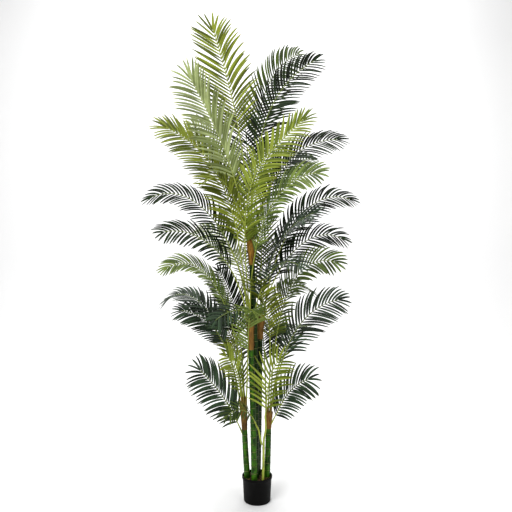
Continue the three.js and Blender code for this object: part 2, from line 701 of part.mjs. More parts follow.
const counts = {};
const grown = FRONDS.map((frond, index) => {
  counts[frond.crown] = (counts[frond.crown] ?? 0) + 1;
  const name = `frond_${frond.crown}_${String(counts[frond.crown]).padStart(2, "0")}`;
  const rib = ribLine(frond);
  const stations = frondStations(frond, rib);
  take(name, trianglesOf(ribGeometry(frond, rib, stations)));
  return { name, frond, rib, stations, seed: index * FROND_SEED };
});
for (const { name, frond, rib, stations, seed } of grown) {
  addNode(name, frondGeometry(name, frond, rib, stations, seed), TONES[frond.tone], 0.45);
}

export default palm;
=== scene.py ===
"""The looks of an artificial areca palm in a nursery pot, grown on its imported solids.

Sizes are in millimetres, as in the solids, and become metres when a mesh is made.
"""

import math

import bpy
import numpy as np
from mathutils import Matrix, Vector


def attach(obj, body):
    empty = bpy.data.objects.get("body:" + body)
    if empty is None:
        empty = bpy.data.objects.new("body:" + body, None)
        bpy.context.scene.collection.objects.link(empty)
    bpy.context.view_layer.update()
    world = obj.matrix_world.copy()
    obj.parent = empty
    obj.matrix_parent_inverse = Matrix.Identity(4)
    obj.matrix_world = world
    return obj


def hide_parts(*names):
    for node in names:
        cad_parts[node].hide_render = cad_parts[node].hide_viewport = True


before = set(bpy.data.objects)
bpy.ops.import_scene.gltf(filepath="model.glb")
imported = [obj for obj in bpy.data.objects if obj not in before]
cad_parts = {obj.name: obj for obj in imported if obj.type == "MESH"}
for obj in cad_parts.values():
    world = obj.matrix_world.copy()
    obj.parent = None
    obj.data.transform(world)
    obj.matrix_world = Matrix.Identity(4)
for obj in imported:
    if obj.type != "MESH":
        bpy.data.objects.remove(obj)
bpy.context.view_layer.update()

MM = 0.001
UP = np.array([0.0, 0.0, 1.0])
FRONT = np.array([0.0, -1.0, 0.0])

# Pot and filling
POT_HEIGHT = 157
POT_FLAT_RADIUS = 73
POT_EDGE_ROUND = 9
POT_SHOULDER_RADIUS = 88.5
POT_SHOULDER_HEIGHT = 138
POT_RIM_RADIUS = 92.5
POT_WALL = 3.2
POT_LIP = 1.6
FILLING_HEIGHT = 143
FILLING_RADIUS = 86.4
FILLING_RELIEF = 3.2
POT_BAND_RISE = 3
POT_BAND_ROUND = 1.2
POT_SIDES = 128
MIX_CENTRE_RADIUS = 3
MIX_FOOT_RADIUS = 78
MIX_FOOT_HEIGHT = 8
MIX_RINGS = 26
MIX_SIDES = 96
CRUMB_RADIUS = 2.2
CRUMB_SIZES = (0.5, 1.6)
CRUMB_TILT = 0.5
CRUMB_TURN = 6.28
CHIP_DENSITY = 30000
CHIP_SHAPE = (1.6, 1.0, 0.55)
FIBRE_DENSITY = 9000
FIBRE_SHAPE = (3.4, 0.3, 0.3)

# Canes and the sheaths at their heads
CANE_FOOT_RADIUS = 18.5
CANE_TOP_RADIUS = 17
SHAFT_FOOT_RADIUS = 17.5
SHAFT_HEAD_RADIUS = 25
SHAFT_FLARE = 1.6
SHAFT_LIP = 2.5
GAP = 0.3
RING_PITCH = 44
COLLAR_SPAN = 5
COLLAR_RISE = 0.2
COLLAR_RELIEF = 2.2
CANE_RELIEF = 1.4
KNOB_RADIUS = 1.7
KNOB_SPAN = 2.5
KNOB_DENSITY = 2600
KNOB_SIZES = (0.5, 1.25)
CANE_POINTS = 60
CANE_SECTION = 4
CANE_FACES = 32
SHEATH_SECTION = 3
SHEATH_FACES = 64
SHEATH_RELIEF = 2.2
STRAND_RADIUS = 0.5
STRAND_STEP = (0.5, 0, 7.5)
STRAND_POINTS = 5
STRAND_THINNING = 0.8
STRAND_LEAN = 0.1
STRAND_SIZES = (0.4, 1.2)
STRAND_DENSITY = 5200
BOOT_LENGTH = 62
BOOT_WIDTHS = np.array([14.5, 14.2, 13.6, 12.8, 12, 11.2, 10.4, 9.6, 8.2])
BOOT_DEPTH = 0.46
BOOT_LOBES = 5
BOOT_RAGGED = 0.05
BOOT_SIDES = 12
CANES = [
    dict(crown="tall", foot=(-7, -4), top=(-32, -5, 1447), bow=(18, 0), shaft=160, head=(-44, -5)),
    dict(crown="front", foot=(-17, -50), top=(-37, -54, 935), bow=(3, -2), shaft=163, head=(-44, -55)),
    dict(crown="rear", foot=(4, 42), top=(17, 42, 986), bow=(4, 3), shaft=117, head=(24, 42)),
    dict(crown="left", foot=(-60, -8), top=(-77, -12, 440), bow=(-3, 0), shaft=146, head=(-84, -14)),
    dict(crown="right", foot=(61, 6), top=(70, 8, 440), bow=(2, 0), shaft=103, head=(74, 8)),
]

# Thin forked stem
STEMS = {
    "thin_stem": dict(
        route=[(35, -52, 143.3), (38, -54, 250), (39, -56, 346),
               (41, -60, 395), (52, -64, 462), (49, -66, 535)],
        radii=[7.5, 7.2, 7.4, 6, 5.4, 5]),
    "thin_stem_branch": dict(
        route=[(27, -60, 366), (19, -62, 400), (9, -64, 450), (-6, -67, 482)],
        radii=[5.6, 5.2, 5, 4.8]),
}
STEM_OF_CROWN = {"thin_left": "thin_stem_branch", "thin_right": "thin_stem"}
STEM_SUNK = 4
STEM_SIDES = 14
STEM_STEPS = 12
KNOT_PITCH = 62
KNOT_SPAN = 5
KNOT_SWELL = 0.16

# Fronds
FOOT_RING = 18.5
FOOT_INNER_RING = 7.5
SIDE_FOOT_GAP = 0.6
CANE_SIDES = 10
TIP_HANDLE = 0.34
RIB_SHORT = 50
RIB_FOOT_WIDTH = 10
RIB_BLADE_WIDTH = 7.2
RIB_TIP_WIDTH = 4.4
RIB_DEPTH = 0.9
RIB_SUNK = 6
RIB_SIDES = 8
RIB_SPAN = 16
LINE_STEPS = 240

# Leaflets: the solids' rule, carried to a finer pitch
LEAF_WIDTH = 9.5
LEAF_WIDTH_GAIN = 0.022
LEAF_THICKNESS = 0.5
LEAF_SIDES = 4
LEAF_FOLD = 0.3
LEAF_FIRST = 0.72
LEAF_PEAK = 0.35
LEAF_LAST = 0.6
LEAF_WANE = 2.2
ANGLE_FIRST = 54
ANGLE_LAST = 46
ANGLE_END = 14
LEAN_ONSET = 3
END_SPAN = 0.1
END_CURVE = 1.5
END_LOSS = 0.2
LENGTH_SPREAD = 0.16
ANGLE_SPREAD = 6
LIFT_SPREAD = 9
LEAF_TWIST = 8
LEAST_WIDTH = 0.9
WIDTH_SPREAD = 0.25
LIGHT_SHARE = 0.55
ROOT_OUT = 0.3
ROOT_UP = 0.15
ROOT_DRIFT = 0.16
FROND_SEED = 101
LEAF_SEED = 1.7
LIMB_CLEARANCE = 3
CANE_STRETCHES = 8
LEAF_STATIONS = np.array([0, 0.05, 0.16, 0.3, 0.46, 0.62, 0.77, 0.9, 1.0])
LEAF_WIDTHS = np.array([0.4, 0.66, 0.9, 1.0, 1.0, 0.92, 0.78, 0.54, 0.12])

# The fronds by crown and ring. tip: the middle of its last leaflets. climb and nod: the rib's slope at
# its foot and tip, in degrees. bare: the share of the rib without leaflets. leaf: its longest leaflet.
# turn: how far the blade's upper face turns from the sky to the front, in degrees. fold: how far the
# leaflets stand up. drop: how far below the sheath's head the frond leaves its side. rise: how far the
# foot's slope carries, as a share of the way to the tip. lean: how much closer to the rib the leaflets
# of its upper side start, and arch: how far they open on their way out, in degrees. sag: how far
# leaflets bend down. pitch: the step between leaflets.
FROND_ROWS = {
    ("tall", "inner"): [
        dict(tip=(-286, 0, 2942), climb=88, nod=73, bare=0.5, leaf=235, turn=70, fold=8, tone="olive",
             lean=20, arch=30, sag=0.12),
        dict(tip=(400, 100, 2760), climb=88, nod=32, bare=0.42, leaf=178, turn=66, tone="dark"),
        dict(tip=(300, 300, 2868), climb=90, nod=30, bare=0.48, leaf=180, turn=65, fold=8, tone="mid"),
        dict(tip=(-95, 260, 2490), climb=90, nod=55, bare=0.5, leaf=170, fold=15, tone="dark"),
    ],
    ("tall", "outer"): [
        dict(tip=(-415, -150, 2588), climb=80, nod=60, bare=0.38, leaf=262, turn=72, fold=8, tone="sage",
             lean=24, arch=12),
        dict(tip=(-490, 330, 2390), climb=70, nod=12, bare=0.36, leaf=185, turn=60, fold=10, tone="sage"),
        dict(tip=(-327, -165, 1922), climb=64, nod=-35, bare=0.44, leaf=175, turn=15, fold=15, tone="olive",
             pitch=20),
        dict(tip=(550, 60, 2232), climb=78, nod=2, bare=0.3, leaf=175, turn=55, tone="dark"),
        dict(tip=(400, 330, 2150), climb=75, nod=2, bare=0.3, leaf=175, turn=45, tone="mid"),
        dict(tip=(170, 560, 2280), climb=78, nod=5, bare=0.35, leaf=175, fold=15, tone="mid"),
        dict(tip=(-260, 560, 2120), climb=72, nod=-5, bare=0.35, leaf=175, fold=15, tone="dark"),
    ],
    ("front", "inner"): [
        dict(tip=(-592, -100, 2292), climb=84, nod=24, bare=0.4, leaf=205, turn=62, fold=10, tone="olive",
             lean=15, arch=5, pitch=20),
        dict(tip=(312, -90, 2356), climb=96, nod=44, bare=0.36, leaf=188, turn=66, fold=10, tone="lime",
             rise=0.7, lean=12, arch=10, pitch=20),
        dict(tip=(370, -330, 1970), climb=92, nod=3, bare=0.4, leaf=185, turn=62, fold=10, tone="fresh",
             pitch=20),
    ],
    ("front", "outer"): [
        dict(tip=(-680, -60, 1838), climb=90, nod=-24, bare=0.42, leaf=160, turn=50, tone="dark"),
        dict(tip=(-566, -330, 1626), climb=84, nod=-12, bare=0.42, leaf=150, turn=55, fold=10, tone="dark"),
        dict(tip=(-410, 300, 1690), climb=80, nod=4, bare=0.45, leaf=150, turn=35, tone="sage"),
        dict(tip=(-270, -280, 1110), climb=76, nod=-30, bare=0.3, leaf=125, turn=38, tone="blue"),
        dict(tip=(250, -430, 1430), climb=78, nod=-25, bare=0.3, leaf=160, turn=20, fold=15, tone="blue"),
    ],
    ("rear", "inner"): [
        dict(tip=(355, -280, 1760), climb=88, nod=15, bare=0.34, leaf=180, turn=45, tone="blue", pitch=18),
        dict(tip=(60, 430, 1850), climb=86, nod=25, bare=0.4, leaf=165, turn=-20, fold=15, tone="mid"),
    ],
    ("rear", "outer"): [
        dict(tip=(640, 150, 1850), climb=86, nod=-18, bare=0.4, leaf=162, turn=50, tone="dark"),
        dict(tip=(565, 20, 1590), climb=79, nod=-26, bare=0.38, leaf=157, turn=50, tone="dark"),
        dict(tip=(390, 350, 1230), climb=70, nod=-40, bare=0.36, leaf=155, turn=25, tone="mid"),
        dict(tip=(180, 560, 1600), climb=75, nod=-8, bare=0.28, leaf=170, fold=15, tone="dark"),
        dict(tip=(-230, 540, 1520), climb=75, nod=-15, bare=0.35, leaf=165, fold=15, tone="olive"),
    ],
    ("left", "inner"): [
        dict(tip=(-565, -200, 1408), climb=90, nod=-30, bare=0.52, leaf=140, turn=40, tone="fresh", pitch=18),
        dict(tip=(-271, 250, 1436), climb=88, nod=45, bare=0.5, leaf=150, turn=35, tone="dark", pitch=18),
        dict(tip=(-612, 180, 1180), climb=92, nod=-44, bare=0.5, leaf=165, turn=20, tone="blue", pitch=15),
    ],
    ("left", "outer"): [
        dict(tip=(-214, -120, 940), climb=80, nod=45, bare=0.3, leaf=140, turn=78, fold=14, tone="lime",
             pitch=18),
        dict(tip=(-520, 60, 1165), climb=82, nod=5, bare=0.54, leaf=150, turn=45, tone="blue", pitch=15),
        dict(tip=(-282, 300, 1150), climb=82, nod=30, bare=0.56, leaf=150, turn=45, tone="olive", pitch=18),
        dict(tip=(-5, -235, 1140), climb=76, nod=-35, bare=0.52, leaf=130, tone="fresh", rise=0.5, pitch=18),
        dict(tip=(-250, 470, 930), climb=70, nod=-5, bare=0.45, leaf=160, fold=15, tone="mid", pitch=18),
    ],
    ("left", "side"): [
        dict(tip=(-365, -150, 865), climb=66, nod=48, bare=0.16, leaf=190, turn=75, fold=10, tone="blue",
             drop=165, pitch=18),
    ],
    ("right", "inner"): [
        dict(tip=(-60, -230, 1376), climb=98, nod=25, bare=0.5, leaf=165, fold=15, tone="olive",
             rise=0.52, pitch=18),
        dict(tip=(490, -230, 1459), climb=88, nod=-12, bare=0.42, leaf=175, turn=60, tone="mid"),
    ],
    ("right", "outer"): [
        dict(tip=(560, 80, 1236), climb=80, nod=10, bare=0.44, leaf=180, turn=60, tone="blue"),
        dict(tip=(330, 430, 1020), climb=74, nod=-5, bare=0.45, leaf=160, fold=15, tone="mid", pitch=18),
        dict(tip=(20, 480, 1050), climb=76, nod=0, bare=0.45, leaf=160, fold=15, tone="dark", pitch=18),
    ],
    ("right", "side"): [
        dict(tip=(345, -120, 788), climb=62, nod=25, bare=0.16, leaf=178, turn=70, fold=10, tone="blue",
             drop=70, pitch=18),
    ],
    ("thin_left", "tip"): [
        dict(tip=(-205, -205, 545), climb=70, nod=-35, bare=0.15, leaf=115, turn=30, fold=10, tone="mid"),
    ],
    ("thin_right", "tip"): [
        dict(tip=(162, -88, 925), climb=84, nod=55, bare=0.14, leaf=180, turn=84, fold=22, tone="lime"),
    ],
}
# What a frond has where its row doesn't say otherwise
USUAL = dict(turn=0, fold=12, rise=0.42, lean=6, arch=-22, sag=0.5, pitch=23)
FRONDS = [dict({**USUAL, **frond}, crown=crown, ring=ring)
          for (crown, ring), fronds in FROND_ROWS.items() for frond in fronds]

# Colours of the leaflets' two shades and of the rib along the blade, then the leaflets' gloss, by tone
TONES = {
    "lime": ("#828f36", "#5e6c24", "#8e9b3c", 0.12),
    "olive": ("#7a852c", "#545e1c", "#828c30", 0.12),
    "sage": ("#98a46c", "#76824e", "#97a264", 0.12),
    "fresh": ("#70823c", "#50622c", "#7c8a38", 0.15),
    "mid": ("#4e5e2a", "#36441e", "#606c2e", 0.12),
    "dark": ("#202f18", "#131c0d", "#5c6a2c", 0.1),
    "blue": ("#344631", "#1f2b1e", "#5e6c34", 0.2),
}
STALK_CODE = "#8f9a3a"

# The studio's sweep in millimetres, and the camera's place, at the photograph's angle, in metres
FLOOR_FRONT = -7000
FLOOR_BACK = 3400
SWEEP_RADIUS = 1500
STUDIO_HALF_WIDTH = 9000
STUDIO_HEIGHT = 9000
CAMERA_PLACE = (-0.007, -3.37, 1.502)
CAMERA_LENS = 38.53


def unit(vectors):
    return vectors / np.linalg.norm(vectors, axis=-1, keepdims=True)


def paint(code):
    """A colour code such as #4f6b2a as linear light."""
    channels = [int(code[place:place + 2], 16) / 255 for place in (1, 3, 5)]
    return [channel ** 2.2 for channel in channels] + [1.0]


def scatter(seeds):
    """An even scatter from 0 to 1, the same each time for the same seeds.

    Each thing that is drawn for one leaflet adds a part of its own to the leaflet's seed.
    """
    waves = np.sin(np.asarray(seeds, float) * 12.9898) * 43758.5453
    return waves - np.floor(waves)


def add_object(name, data):
    """A new object in the scene, of a mesh, a light or a camera."""
    made = bpy.data.objects.new(name, data)
    bpy.context.scene.collection.objects.link(made)
    return made


class Link:
    """A node's output. Python's operators on it add Math nodes."""

    def __init__(self, board, socket):
        self.board = board
        self.socket = socket

    def __add__(self, other):
        return self.board.maths("ADD", self, other)

    def __radd__(self, other):
        return self.board.maths("ADD", other, self)

    def __sub__(self, other):
        return self.board.maths("SUBTRACT", self, other)

    def __rsub__(self, other):
        return self.board.maths("SUBTRACT", other, self)

    def __mul__(self, other):
        return self.board.maths("MULTIPLY", self, other)

    def __rmul__(self, other):
        return self.board.maths("MULTIPLY", other, self)

    def __truediv__(self, other):
        return self.board.maths("DIVIDE", self, other)


class Board:
    """A node tree, of a material or of Geometry Nodes, that is written as expressions."""

    def __init__(self, tree):
        self.tree = tree

    def node(self, kind, settings=None, values=None, output=0):
        """Adds one node. Its settings come first, then the values or links of its sockets."""
        made = self.tree.nodes.new(kind)
        for name, setting in (settings or {}).items():
            setattr(made, name, setting)
        for key, value in (values or {}).items():
            if isinstance(value, Link):
                self.tree.links.new(value.socket, made.inputs[key])
            else:
                made.inputs[key].default_value = value
        return Link(self, made.outputs[output])

    def maths(self, operation, *numbers):
        return self.node("ShaderNodeMath", {"operation": operation}, dict(enumerate(numbers)))

    def vectors(self, operation, *vectors):
        return self.node("ShaderNodeVectorMath", {"operation": operation}, dict(enumerate(vectors)))

    def axis(self, vector, name):
        return self.node("ShaderNodeSeparateXYZ", {}, {0: vector}, name)

    def within(self, number, low, high):
        """How far a number has come from low to high, kept from 0 to 1."""
        settings = {"interpolation_type": "SMOOTHSTEP"}
        return self.node("ShaderNodeMapRange", settings, {0: number, 1: low, 2: high})

    def noise(self, place, scale, detail=2.0, roughness=0.5):
        values = {"Vector": place, "Scale": scale, "Detail": detail, "Roughness": roughness}
        return self.node("ShaderNodeTexNoise", {}, values)


class Finish(Board):
    """A material. Constants are set on the shader's own sockets."""

    def __init__(self, name, **constants):
        self.material = bpy.data.materials.new(name)
        self.material.use_nodes = True
        super().__init__(self.material.node_tree)
        self.shader = self.tree.nodes["Principled BSDF"]
        for socket, value in constants.items():
            self.shader.inputs[socket.replace("_", " ")].default_value = value

    def place(self, stretch=(1, 1, 1)):
        """The point on the object, stretched along its axes."""
        spot = self.node("ShaderNodeTexCoord", {}, {}, "Object")
        return self.node("ShaderNodeMapping", {}, {"Vector": spot, "Scale": stretch})

    def blend(self, share, first, second):
        """A colour between two others."""
        settings = {"data_type": "RGBA", "clamp_factor": True}
        return self.node("ShaderNodeMix", settings, {0: share, 6: first, 7: second}, 2)

    def feed(self, colour, roughness, relief, depth, strength):
        """Feeds the shader its colour, roughness and a bump from a relief, and gives the material."""
        bump = self.node("ShaderNodeBump", {}, {"Strength": strength, "Distance": depth, "Height": relief})
        for socket, link in {"Base Color": colour, "Roughness": roughness, "Normal": bump}.items():
            self.tree.links.new(link.socket, self.shader.inputs[socket])
        return self.material


def leaf_finish(name, code, gloss):
    """Moulded leaflet: fine lengthwise veins, a painted midrib highlight, mottled colour and a drier tip."""
    finish = Finish(name, Specular_IOR_Level=gloss)
    blade = finish.node("ShaderNodeUVMap", {"uv_map": "blade"})
    across = finish.axis(blade, "X")
    along = finish.axis(blade, "Y")
    tone = paint(code)
    pale = [min(1.0, channel * 1.5 + 0.012) for channel in tone[:3]] + [1.0]
    deep = [channel * 0.62 for channel in tone[:3]] + [1.0]
    dry = [tone[0] * 1.5 + 0.02, tone[1] * 1.15 + 0.01, tone[2] * 0.8, 1.0]
    patches = finish.noise(finish.place(), 9.0, 3.0)
    colour = finish.blend(finish.within(patches, 0.35, 0.65), deep, tone)
    # Painted highlight: a pale stripe down the middle of the leaflet, along its midrib and fold ridge.
    midrib_highlight = 1 - finish.within(finish.maths("ABSOLUTE", across - 0.5), 0.02, 0.07)
    colour = finish.blend(midrib_highlight * 0.55, colour, pale)
    colour = finish.blend(finish.within(along, 0.86, 1.0) * 0.5, colour, dry)
    veins = finish.maths("SINE", across * 95.0)
    roughness = finish.noise(finish.place(), 60.0) * 0.16 + 0.36
    return finish.feed(colour, roughness, veins, 0.0002, 0.35)


def rib_finish(name, code):
    """Wired rib: a yellow-green stalk that takes its blade's tone further up, with faint streaks."""
    finish = Finish(name, Specular_IOR_Level=0.3)
    along = finish.axis(finish.node("ShaderNodeUVMap", {"uv_map": "blade"}), "Y")
    tone = finish.blend(finish.within(along, 0.25, 0.6), paint(STALK_CODE), paint(code))
    patches = finish.noise(finish.place(), 14.0, 2.0)
    colour = finish.blend(finish.within(patches, 0.45, 0.7) * 0.4, tone, paint("#4c5a1e"))
    streaks = finish.noise(finish.place((300, 300, 20)), 1.0, 3.0)
    roughness = streaks * 0.2 + 0.36
    return finish.feed(colour, roughness, streaks, 0.0004, 0.4)


def cane_finish(name, light, deep):
    """Coated cane: mottled green, a pale scar at each ring and darker coating round it."""
    finish = Finish(name, Specular_IOR_Level=0.15)
    height = finish.axis(finish.place(), "Z")
    ring_gap = finish.maths("PINGPONG", height - (FILLING_HEIGHT + GAP) * MM, RING_PITCH * MM / 2)
    mottle = finish.noise(finish.place((1, 1, 0.35)), 55.0, 4.0, 0.6)
    colour = finish.blend(finish.within(mottle, 0.36, 0.66), paint(deep), paint(light))
    shade = 1 - finish.within(ring_gap, 0.002, 0.009)
    colour = finish.blend(shade * 0.55, colour, paint("#1b2a0e"))
    broken = finish.within(finish.noise(finish.place(), 120.0, 2.0), 0.38, 0.52)
    scar = (1 - finish.within(ring_gap, 0.0005, 0.0015)) * broken
    colour = finish.blend(scar * 0.75, colour, paint("#8a8c54"))
    grain = finish.noise(finish.place((1, 1, 0.1)), 420.0, 3.0)
    roughness = mottle * 0.25 + 0.3
    return finish.feed(colour, roughness, grain, 0.0006, 0.5)


def sheath_finish(name, light, deep):
    """Fibrous sheath: lengthwise fibres from orange brown to dark brown."""
    finish = Finish(name, Specular_IOR_Level=0.25)
    fibres = finish.noise(finish.place((420, 420, 9)), 1.0, 4.0, 0.65)
    colour = finish.blend(finish.within(fibres, 0.36, 0.64), paint(deep), paint(light))
    patches = finish.noise(finish.place((1, 1, 0.5)), 24.0, 3.0)
    colour = finish.blend(finish.within(patches, 0.5, 0.7) * 0.6, colour, paint("#3a2814"))
    roughness = fibres * 0.2 + 0.62
    return finish.feed(colour, roughness, fibres, 0.0012, 0.8)


def pot_finish():
    """Nursery pot: nearly black moulded plastic with a fine grain, scuffed in places."""
    finish = Finish("black_pot_plastic", Specular_IOR_Level=0.1)
    scuffs = finish.noise(finish.place((1, 1, 3)), 38.0, 5.0, 0.7)
    colour = finish.blend(finish.within(scuffs, 0.55, 0.8) * 0.5, paint("#060503"), paint("#12100b"))
    grain = finish.noise(finish.place(), 900.0, 2.0)
    roughness = scuffs * 0.2 + 0.55
    return finish.feed(colour, roughness, grain, 0.0003, 0.5)


def soil_finish():
    """Set mix: dark crumbs with pale brown fibre showing through."""
    finish = Finish("set_soil_mix", Specular_IOR_Level=0.2)
    crumbs = finish.noise(finish.place(), 210.0, 4.0, 0.7)
    patches = finish.noise(finish.place(), 26.0, 2.0)
    colour = finish.blend(finish.within(crumbs, 0.35, 0.7), paint("#18120c"), paint("#4a3722"))
    colour = finish.blend(finish.within(patches, 0.55, 0.68) * 0.7, colour, paint("#7d6a45"))
    roughness = crumbs * 0.15 + 0.8
    return finish.feed(colour, roughness, crumbs, 0.003, 0.9)


def crumb_finish(name, light, deep):
    """Bark chips and fibre on the mix."""
    finish = Finish(name, Specular_IOR_Level=0.2)
    grain = finish.noise(finish.place(), 160.0, 3.0)
    colour = finish.blend(finish.within(grain, 0.35, 0.65), paint(deep), paint(light))
    roughness = grain * 0.2 + 0.72
    return finish.feed(colour, roughness, grain, 0.001, 0.6)


class Joined:
    """Shapes of one kind, joined into one mesh."""

    def __init__(self, name):
        self.name = name
        self.corners = []
        self.faces = []
        self.blade = []
        self.shades = []
        self.count = 0

    def add(self, corners, faces, blade=None, shades=None):
        self.corners.append(corners)
        self.faces.extend([[corner + self.count for corner in face] for face in faces])
        self.blade.append(np.zeros((len(corners), 2)) if blade is None else blade)
        self.shades.extend([0] * len(faces) if shades is None else shades)
        self.count += len(corners)

    def piece(self, finishes, stride=None):
        """The finished object. With a stride, edges from one section to the next stay sharp."""
        mesh = bpy.data.meshes.new(self.name)
        mesh.from_pydata((np.concatenate(self.corners) * MM).tolist(), [], self.faces)
        mesh.update()
        for finish in finishes:
            mesh.materials.append(finish)
        mesh.polygons.foreach_set("material_index", self.shades)
        mesh.polygons.foreach_set("use_smooth", [True] * len(mesh.polygons))
        layer = mesh.uv_layers.new(name="blade")
        owners = np.zeros(len(mesh.loops), int)
        mesh.loops.foreach_get("vertex_index", owners)
        layer.data.foreach_set("uv", np.concatenate(self.blade)[owners].ravel())
        if stride:
            ends = np.zeros(len(mesh.edges) * 2, int)
            mesh.edges.foreach_get("vertices", ends)
            ends = ends.reshape(-1, 2)
            mesh.edges.foreach_set("use_edge_sharp", np.abs(ends[:, 0] - ends[:, 1]) == stride)
        return add_object(self.name, mesh)


def settle(piece, slot, *nodes):
    """The piece rides with the plant and stands for the nodes. Its slot is not used."""
    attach(piece, "root")
    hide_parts(*nodes)


def tube_faces(sections, sides):
    faces = []
    for section in range(sections - 1):
        low = section * sides
        for side in range(sides):
            following = (side + 1) % sides
            faces.append([low + side, low + following, low + sides + following, low + sides + side])
    last = (sections - 1) * sides
    faces.append(list(range(sides))[::-1])
    faces.append(list(range(last, last + sides)))
    return faces


def tube_rings(centre, side, face, outline, widths, depths):
    """A ring of corners round each centre: an outline, scaled by half a width and half a depth."""
    across, over = outline
    rings = (centre[:, None]
             + side[:, None] * (across[None, :, None] * widths[:, None, None])
             + face[:, None] * (over[None, :, None] * depths[:, None, None]))
    return rings.reshape(-1, 3)


# Limbs that leaflets keep clear of: the ends of each stretch and its radius

def shaft_radius(share):
    flare = SHAFT_FLARE + (1 - SHAFT_FLARE) * share
    return SHAFT_FOOT_RADIUS + (SHAFT_HEAD_RADIUS - SHAFT_FOOT_RADIUS) * share * share * flare


def cane_ends(cane):
    foot = np.array([*cane["foot"], FILLING_HEIGHT + GAP], float)
    top = np.array(cane["top"], float)
    return foot, top


def cane_line(cane, steps):
    foot, top = cane_ends(cane)
    middle = (foot + top) / 2 + np.array([*cane["bow"], 0.0])
    steps = steps[:, None]
    return foot * (1 - steps) ** 2 + 2 * middle * steps * (1 - steps) + top * steps ** 2


def shaft_ends(cane):
    foot = np.array(cane["top"], float) + UP * GAP
    head = np.array([*cane["head"], cane["top"][2] + GAP + cane["shaft"]], float)
    return foot, head


def limb_stretches():
    limbs = []
    for cane in CANES:
        limbs.append((cane_line(cane, np.linspace(0, 1, CANE_STRETCHES + 1)), CANE_FOOT_RADIUS))
        limbs.append((shaft_ends(cane), SHAFT_HEAD_RADIUS))
    for stem in STEMS.values():
        limbs.append((np.array(stem["route"], float), max(stem["radii"])))
    return [(start, end, radius) for points, radius in limbs for start, end in zip(points[:-1], points[1:])]


LIMBS = limb_stretches()


def clear_of_limbs(paths):
    """Which leaflets keep clear of every limb: paths has one row of points a leaflet."""
    clear = np.ones(len(paths), bool)
    for start, end, radius in LIMBS:
        span = end - start
        shares = np.clip(((paths - start) @ span) / (span @ span), 0, 1)
        nearest = start + shares[..., None] * span
        gaps = np.linalg.norm(paths - nearest, axis=-1) - radius
        clear &= gaps.min(axis=1) > LIMB_CLEARANCE
    return clear


# Where each frond stands

def bearing(centre, tip):
    return math.atan2(tip[1] - centre[1], tip[0] - centre[0])


def plant_ring(cane, ring, radius):
    """Feet of one ring stand evenly round the sheath's head, in the order of their bearings."""
    head = shaft_ends(cane)[1]
    fronds = [frond for frond in FRONDS if (frond["crown"], frond["ring"]) == (cane["crown"], ring)]
    fronds.sort(key=lambda frond: bearing(head, frond["tip"]))
    pitch = 2 * math.pi / max(len(fronds), 1)
    shift = sum(bearing(head, frond["tip"]) - place * pitch for place, frond in enumerate(fronds))
    for place, frond in enumerate(fronds):
        angle = shift / len(fronds) + place * pitch
        frond["foot"] = head + np.array([radius * math.cos(angle), radius * math.sin(angle), GAP])


def plant_sides(cane):
    """A frond that leaves the side of its sheath stands on the middle of one of its flats."""
    foot, head = shaft_ends(cane)
    flat = 2 * math.pi / CANE_SIDES
    for frond in FRONDS:
        if (frond["crown"], frond["ring"]) == (cane["crown"], "side"):
            angle = (math.floor(bearing(head, frond["tip"]) / flat) + 0.5) * flat
            share = 1 - frond["drop"] / cane["shaft"]
            carrier = CANE_TOP_RADIUS if share < 0 else shaft_radius(share)
            radius = carrier * math.cos(flat / 2) + SIDE_FOOT_GAP
            out = np.array([math.cos(angle), math.sin(angle), 0.0])
            frond["foot"] = foot + (head - foot) * share + out * radius


def plant_fronds():
    for cane in CANES:
        plant_ring(cane, "inner", FOOT_INNER_RING)
        plant_ring(cane, "outer", FOOT_RING)
        plant_sides(cane)
    for frond in FRONDS:
        if frond["ring"] == "tip":
            route = np.array(STEMS[STEM_OF_CROWN[frond["crown"]]]["route"], float)
            frond["foot"] = route[-1] + unit(route[-1] - route[-2]) * GAP
    counts = {}
    for frond in FRONDS:
        crown = frond["crown"]
        counts[crown] = counts.get(crown, 0) + 1
        frond["node"] = f"frond_{crown}_{counts[crown]:02d}"


class Rib:
    """The line of a frond's rib, with its own axes at any share of its length."""

    def __init__(self, frond):
        foot = frond["foot"]
        tip = np.array(frond["tip"], float)
        span = np.linalg.norm(tip - foot)
        outward = unit((tip - foot) * (1 - UP))
        end = tip - self.slope(outward, frond["nod"]) * RIB_SHORT
        self.handles = np.array([
            foot,
            foot + self.slope(outward, frond["climb"]) * span * frond["rise"],
            end - self.slope(outward, frond["nod"]) * span * TIP_HANDLE,
            end,
        ])
        self.steps = np.linspace(0, 1, LINE_STEPS)
        stretches = np.linalg.norm(np.diff(self.point(self.steps), axis=0), axis=1)
        travelled = np.concatenate([[0], np.cumsum(stretches)])
        self.length = travelled[-1]
        self.shares = travelled / self.length
        self.flat_side = unit(np.cross(outward, UP))
        to_front = 1 if self.flat_side @ FRONT >= 0 else -1
        self.turn = math.radians(frond["turn"]) * to_front

    def slope(self, outward, angle):
        return outward * math.cos(math.radians(angle)) + UP * math.sin(math.radians(angle))

    def point(self, steps):
        steps = steps[:, None]
        back = 1 - steps
        first, second, third, fourth = self.handles
        return (first * back ** 3 + 3 * second * back ** 2 * steps
                + 3 * third * back * steps ** 2 + fourth * steps ** 3)

    def axes(self, shares):
        """Centre, along, side and face at each share."""
        steps = np.interp(shares, self.shares, self.steps)
        back = (1 - steps)[:, None]
        ahead = steps[:, None]
        first, second, third = np.diff(self.handles, axis=0)
        along = unit(first * back ** 2 + 2 * second * back * ahead + third * ahead ** 2)
        flat_face = unit(np.cross(self.flat_side, along))
        cosine = math.cos(self.turn)
        sine = math.sin(self.turn)
        side = self.flat_side * cosine - flat_face * sine
        face = flat_face * cosine + self.flat_side * sine
        return self.point(steps), along, side, face


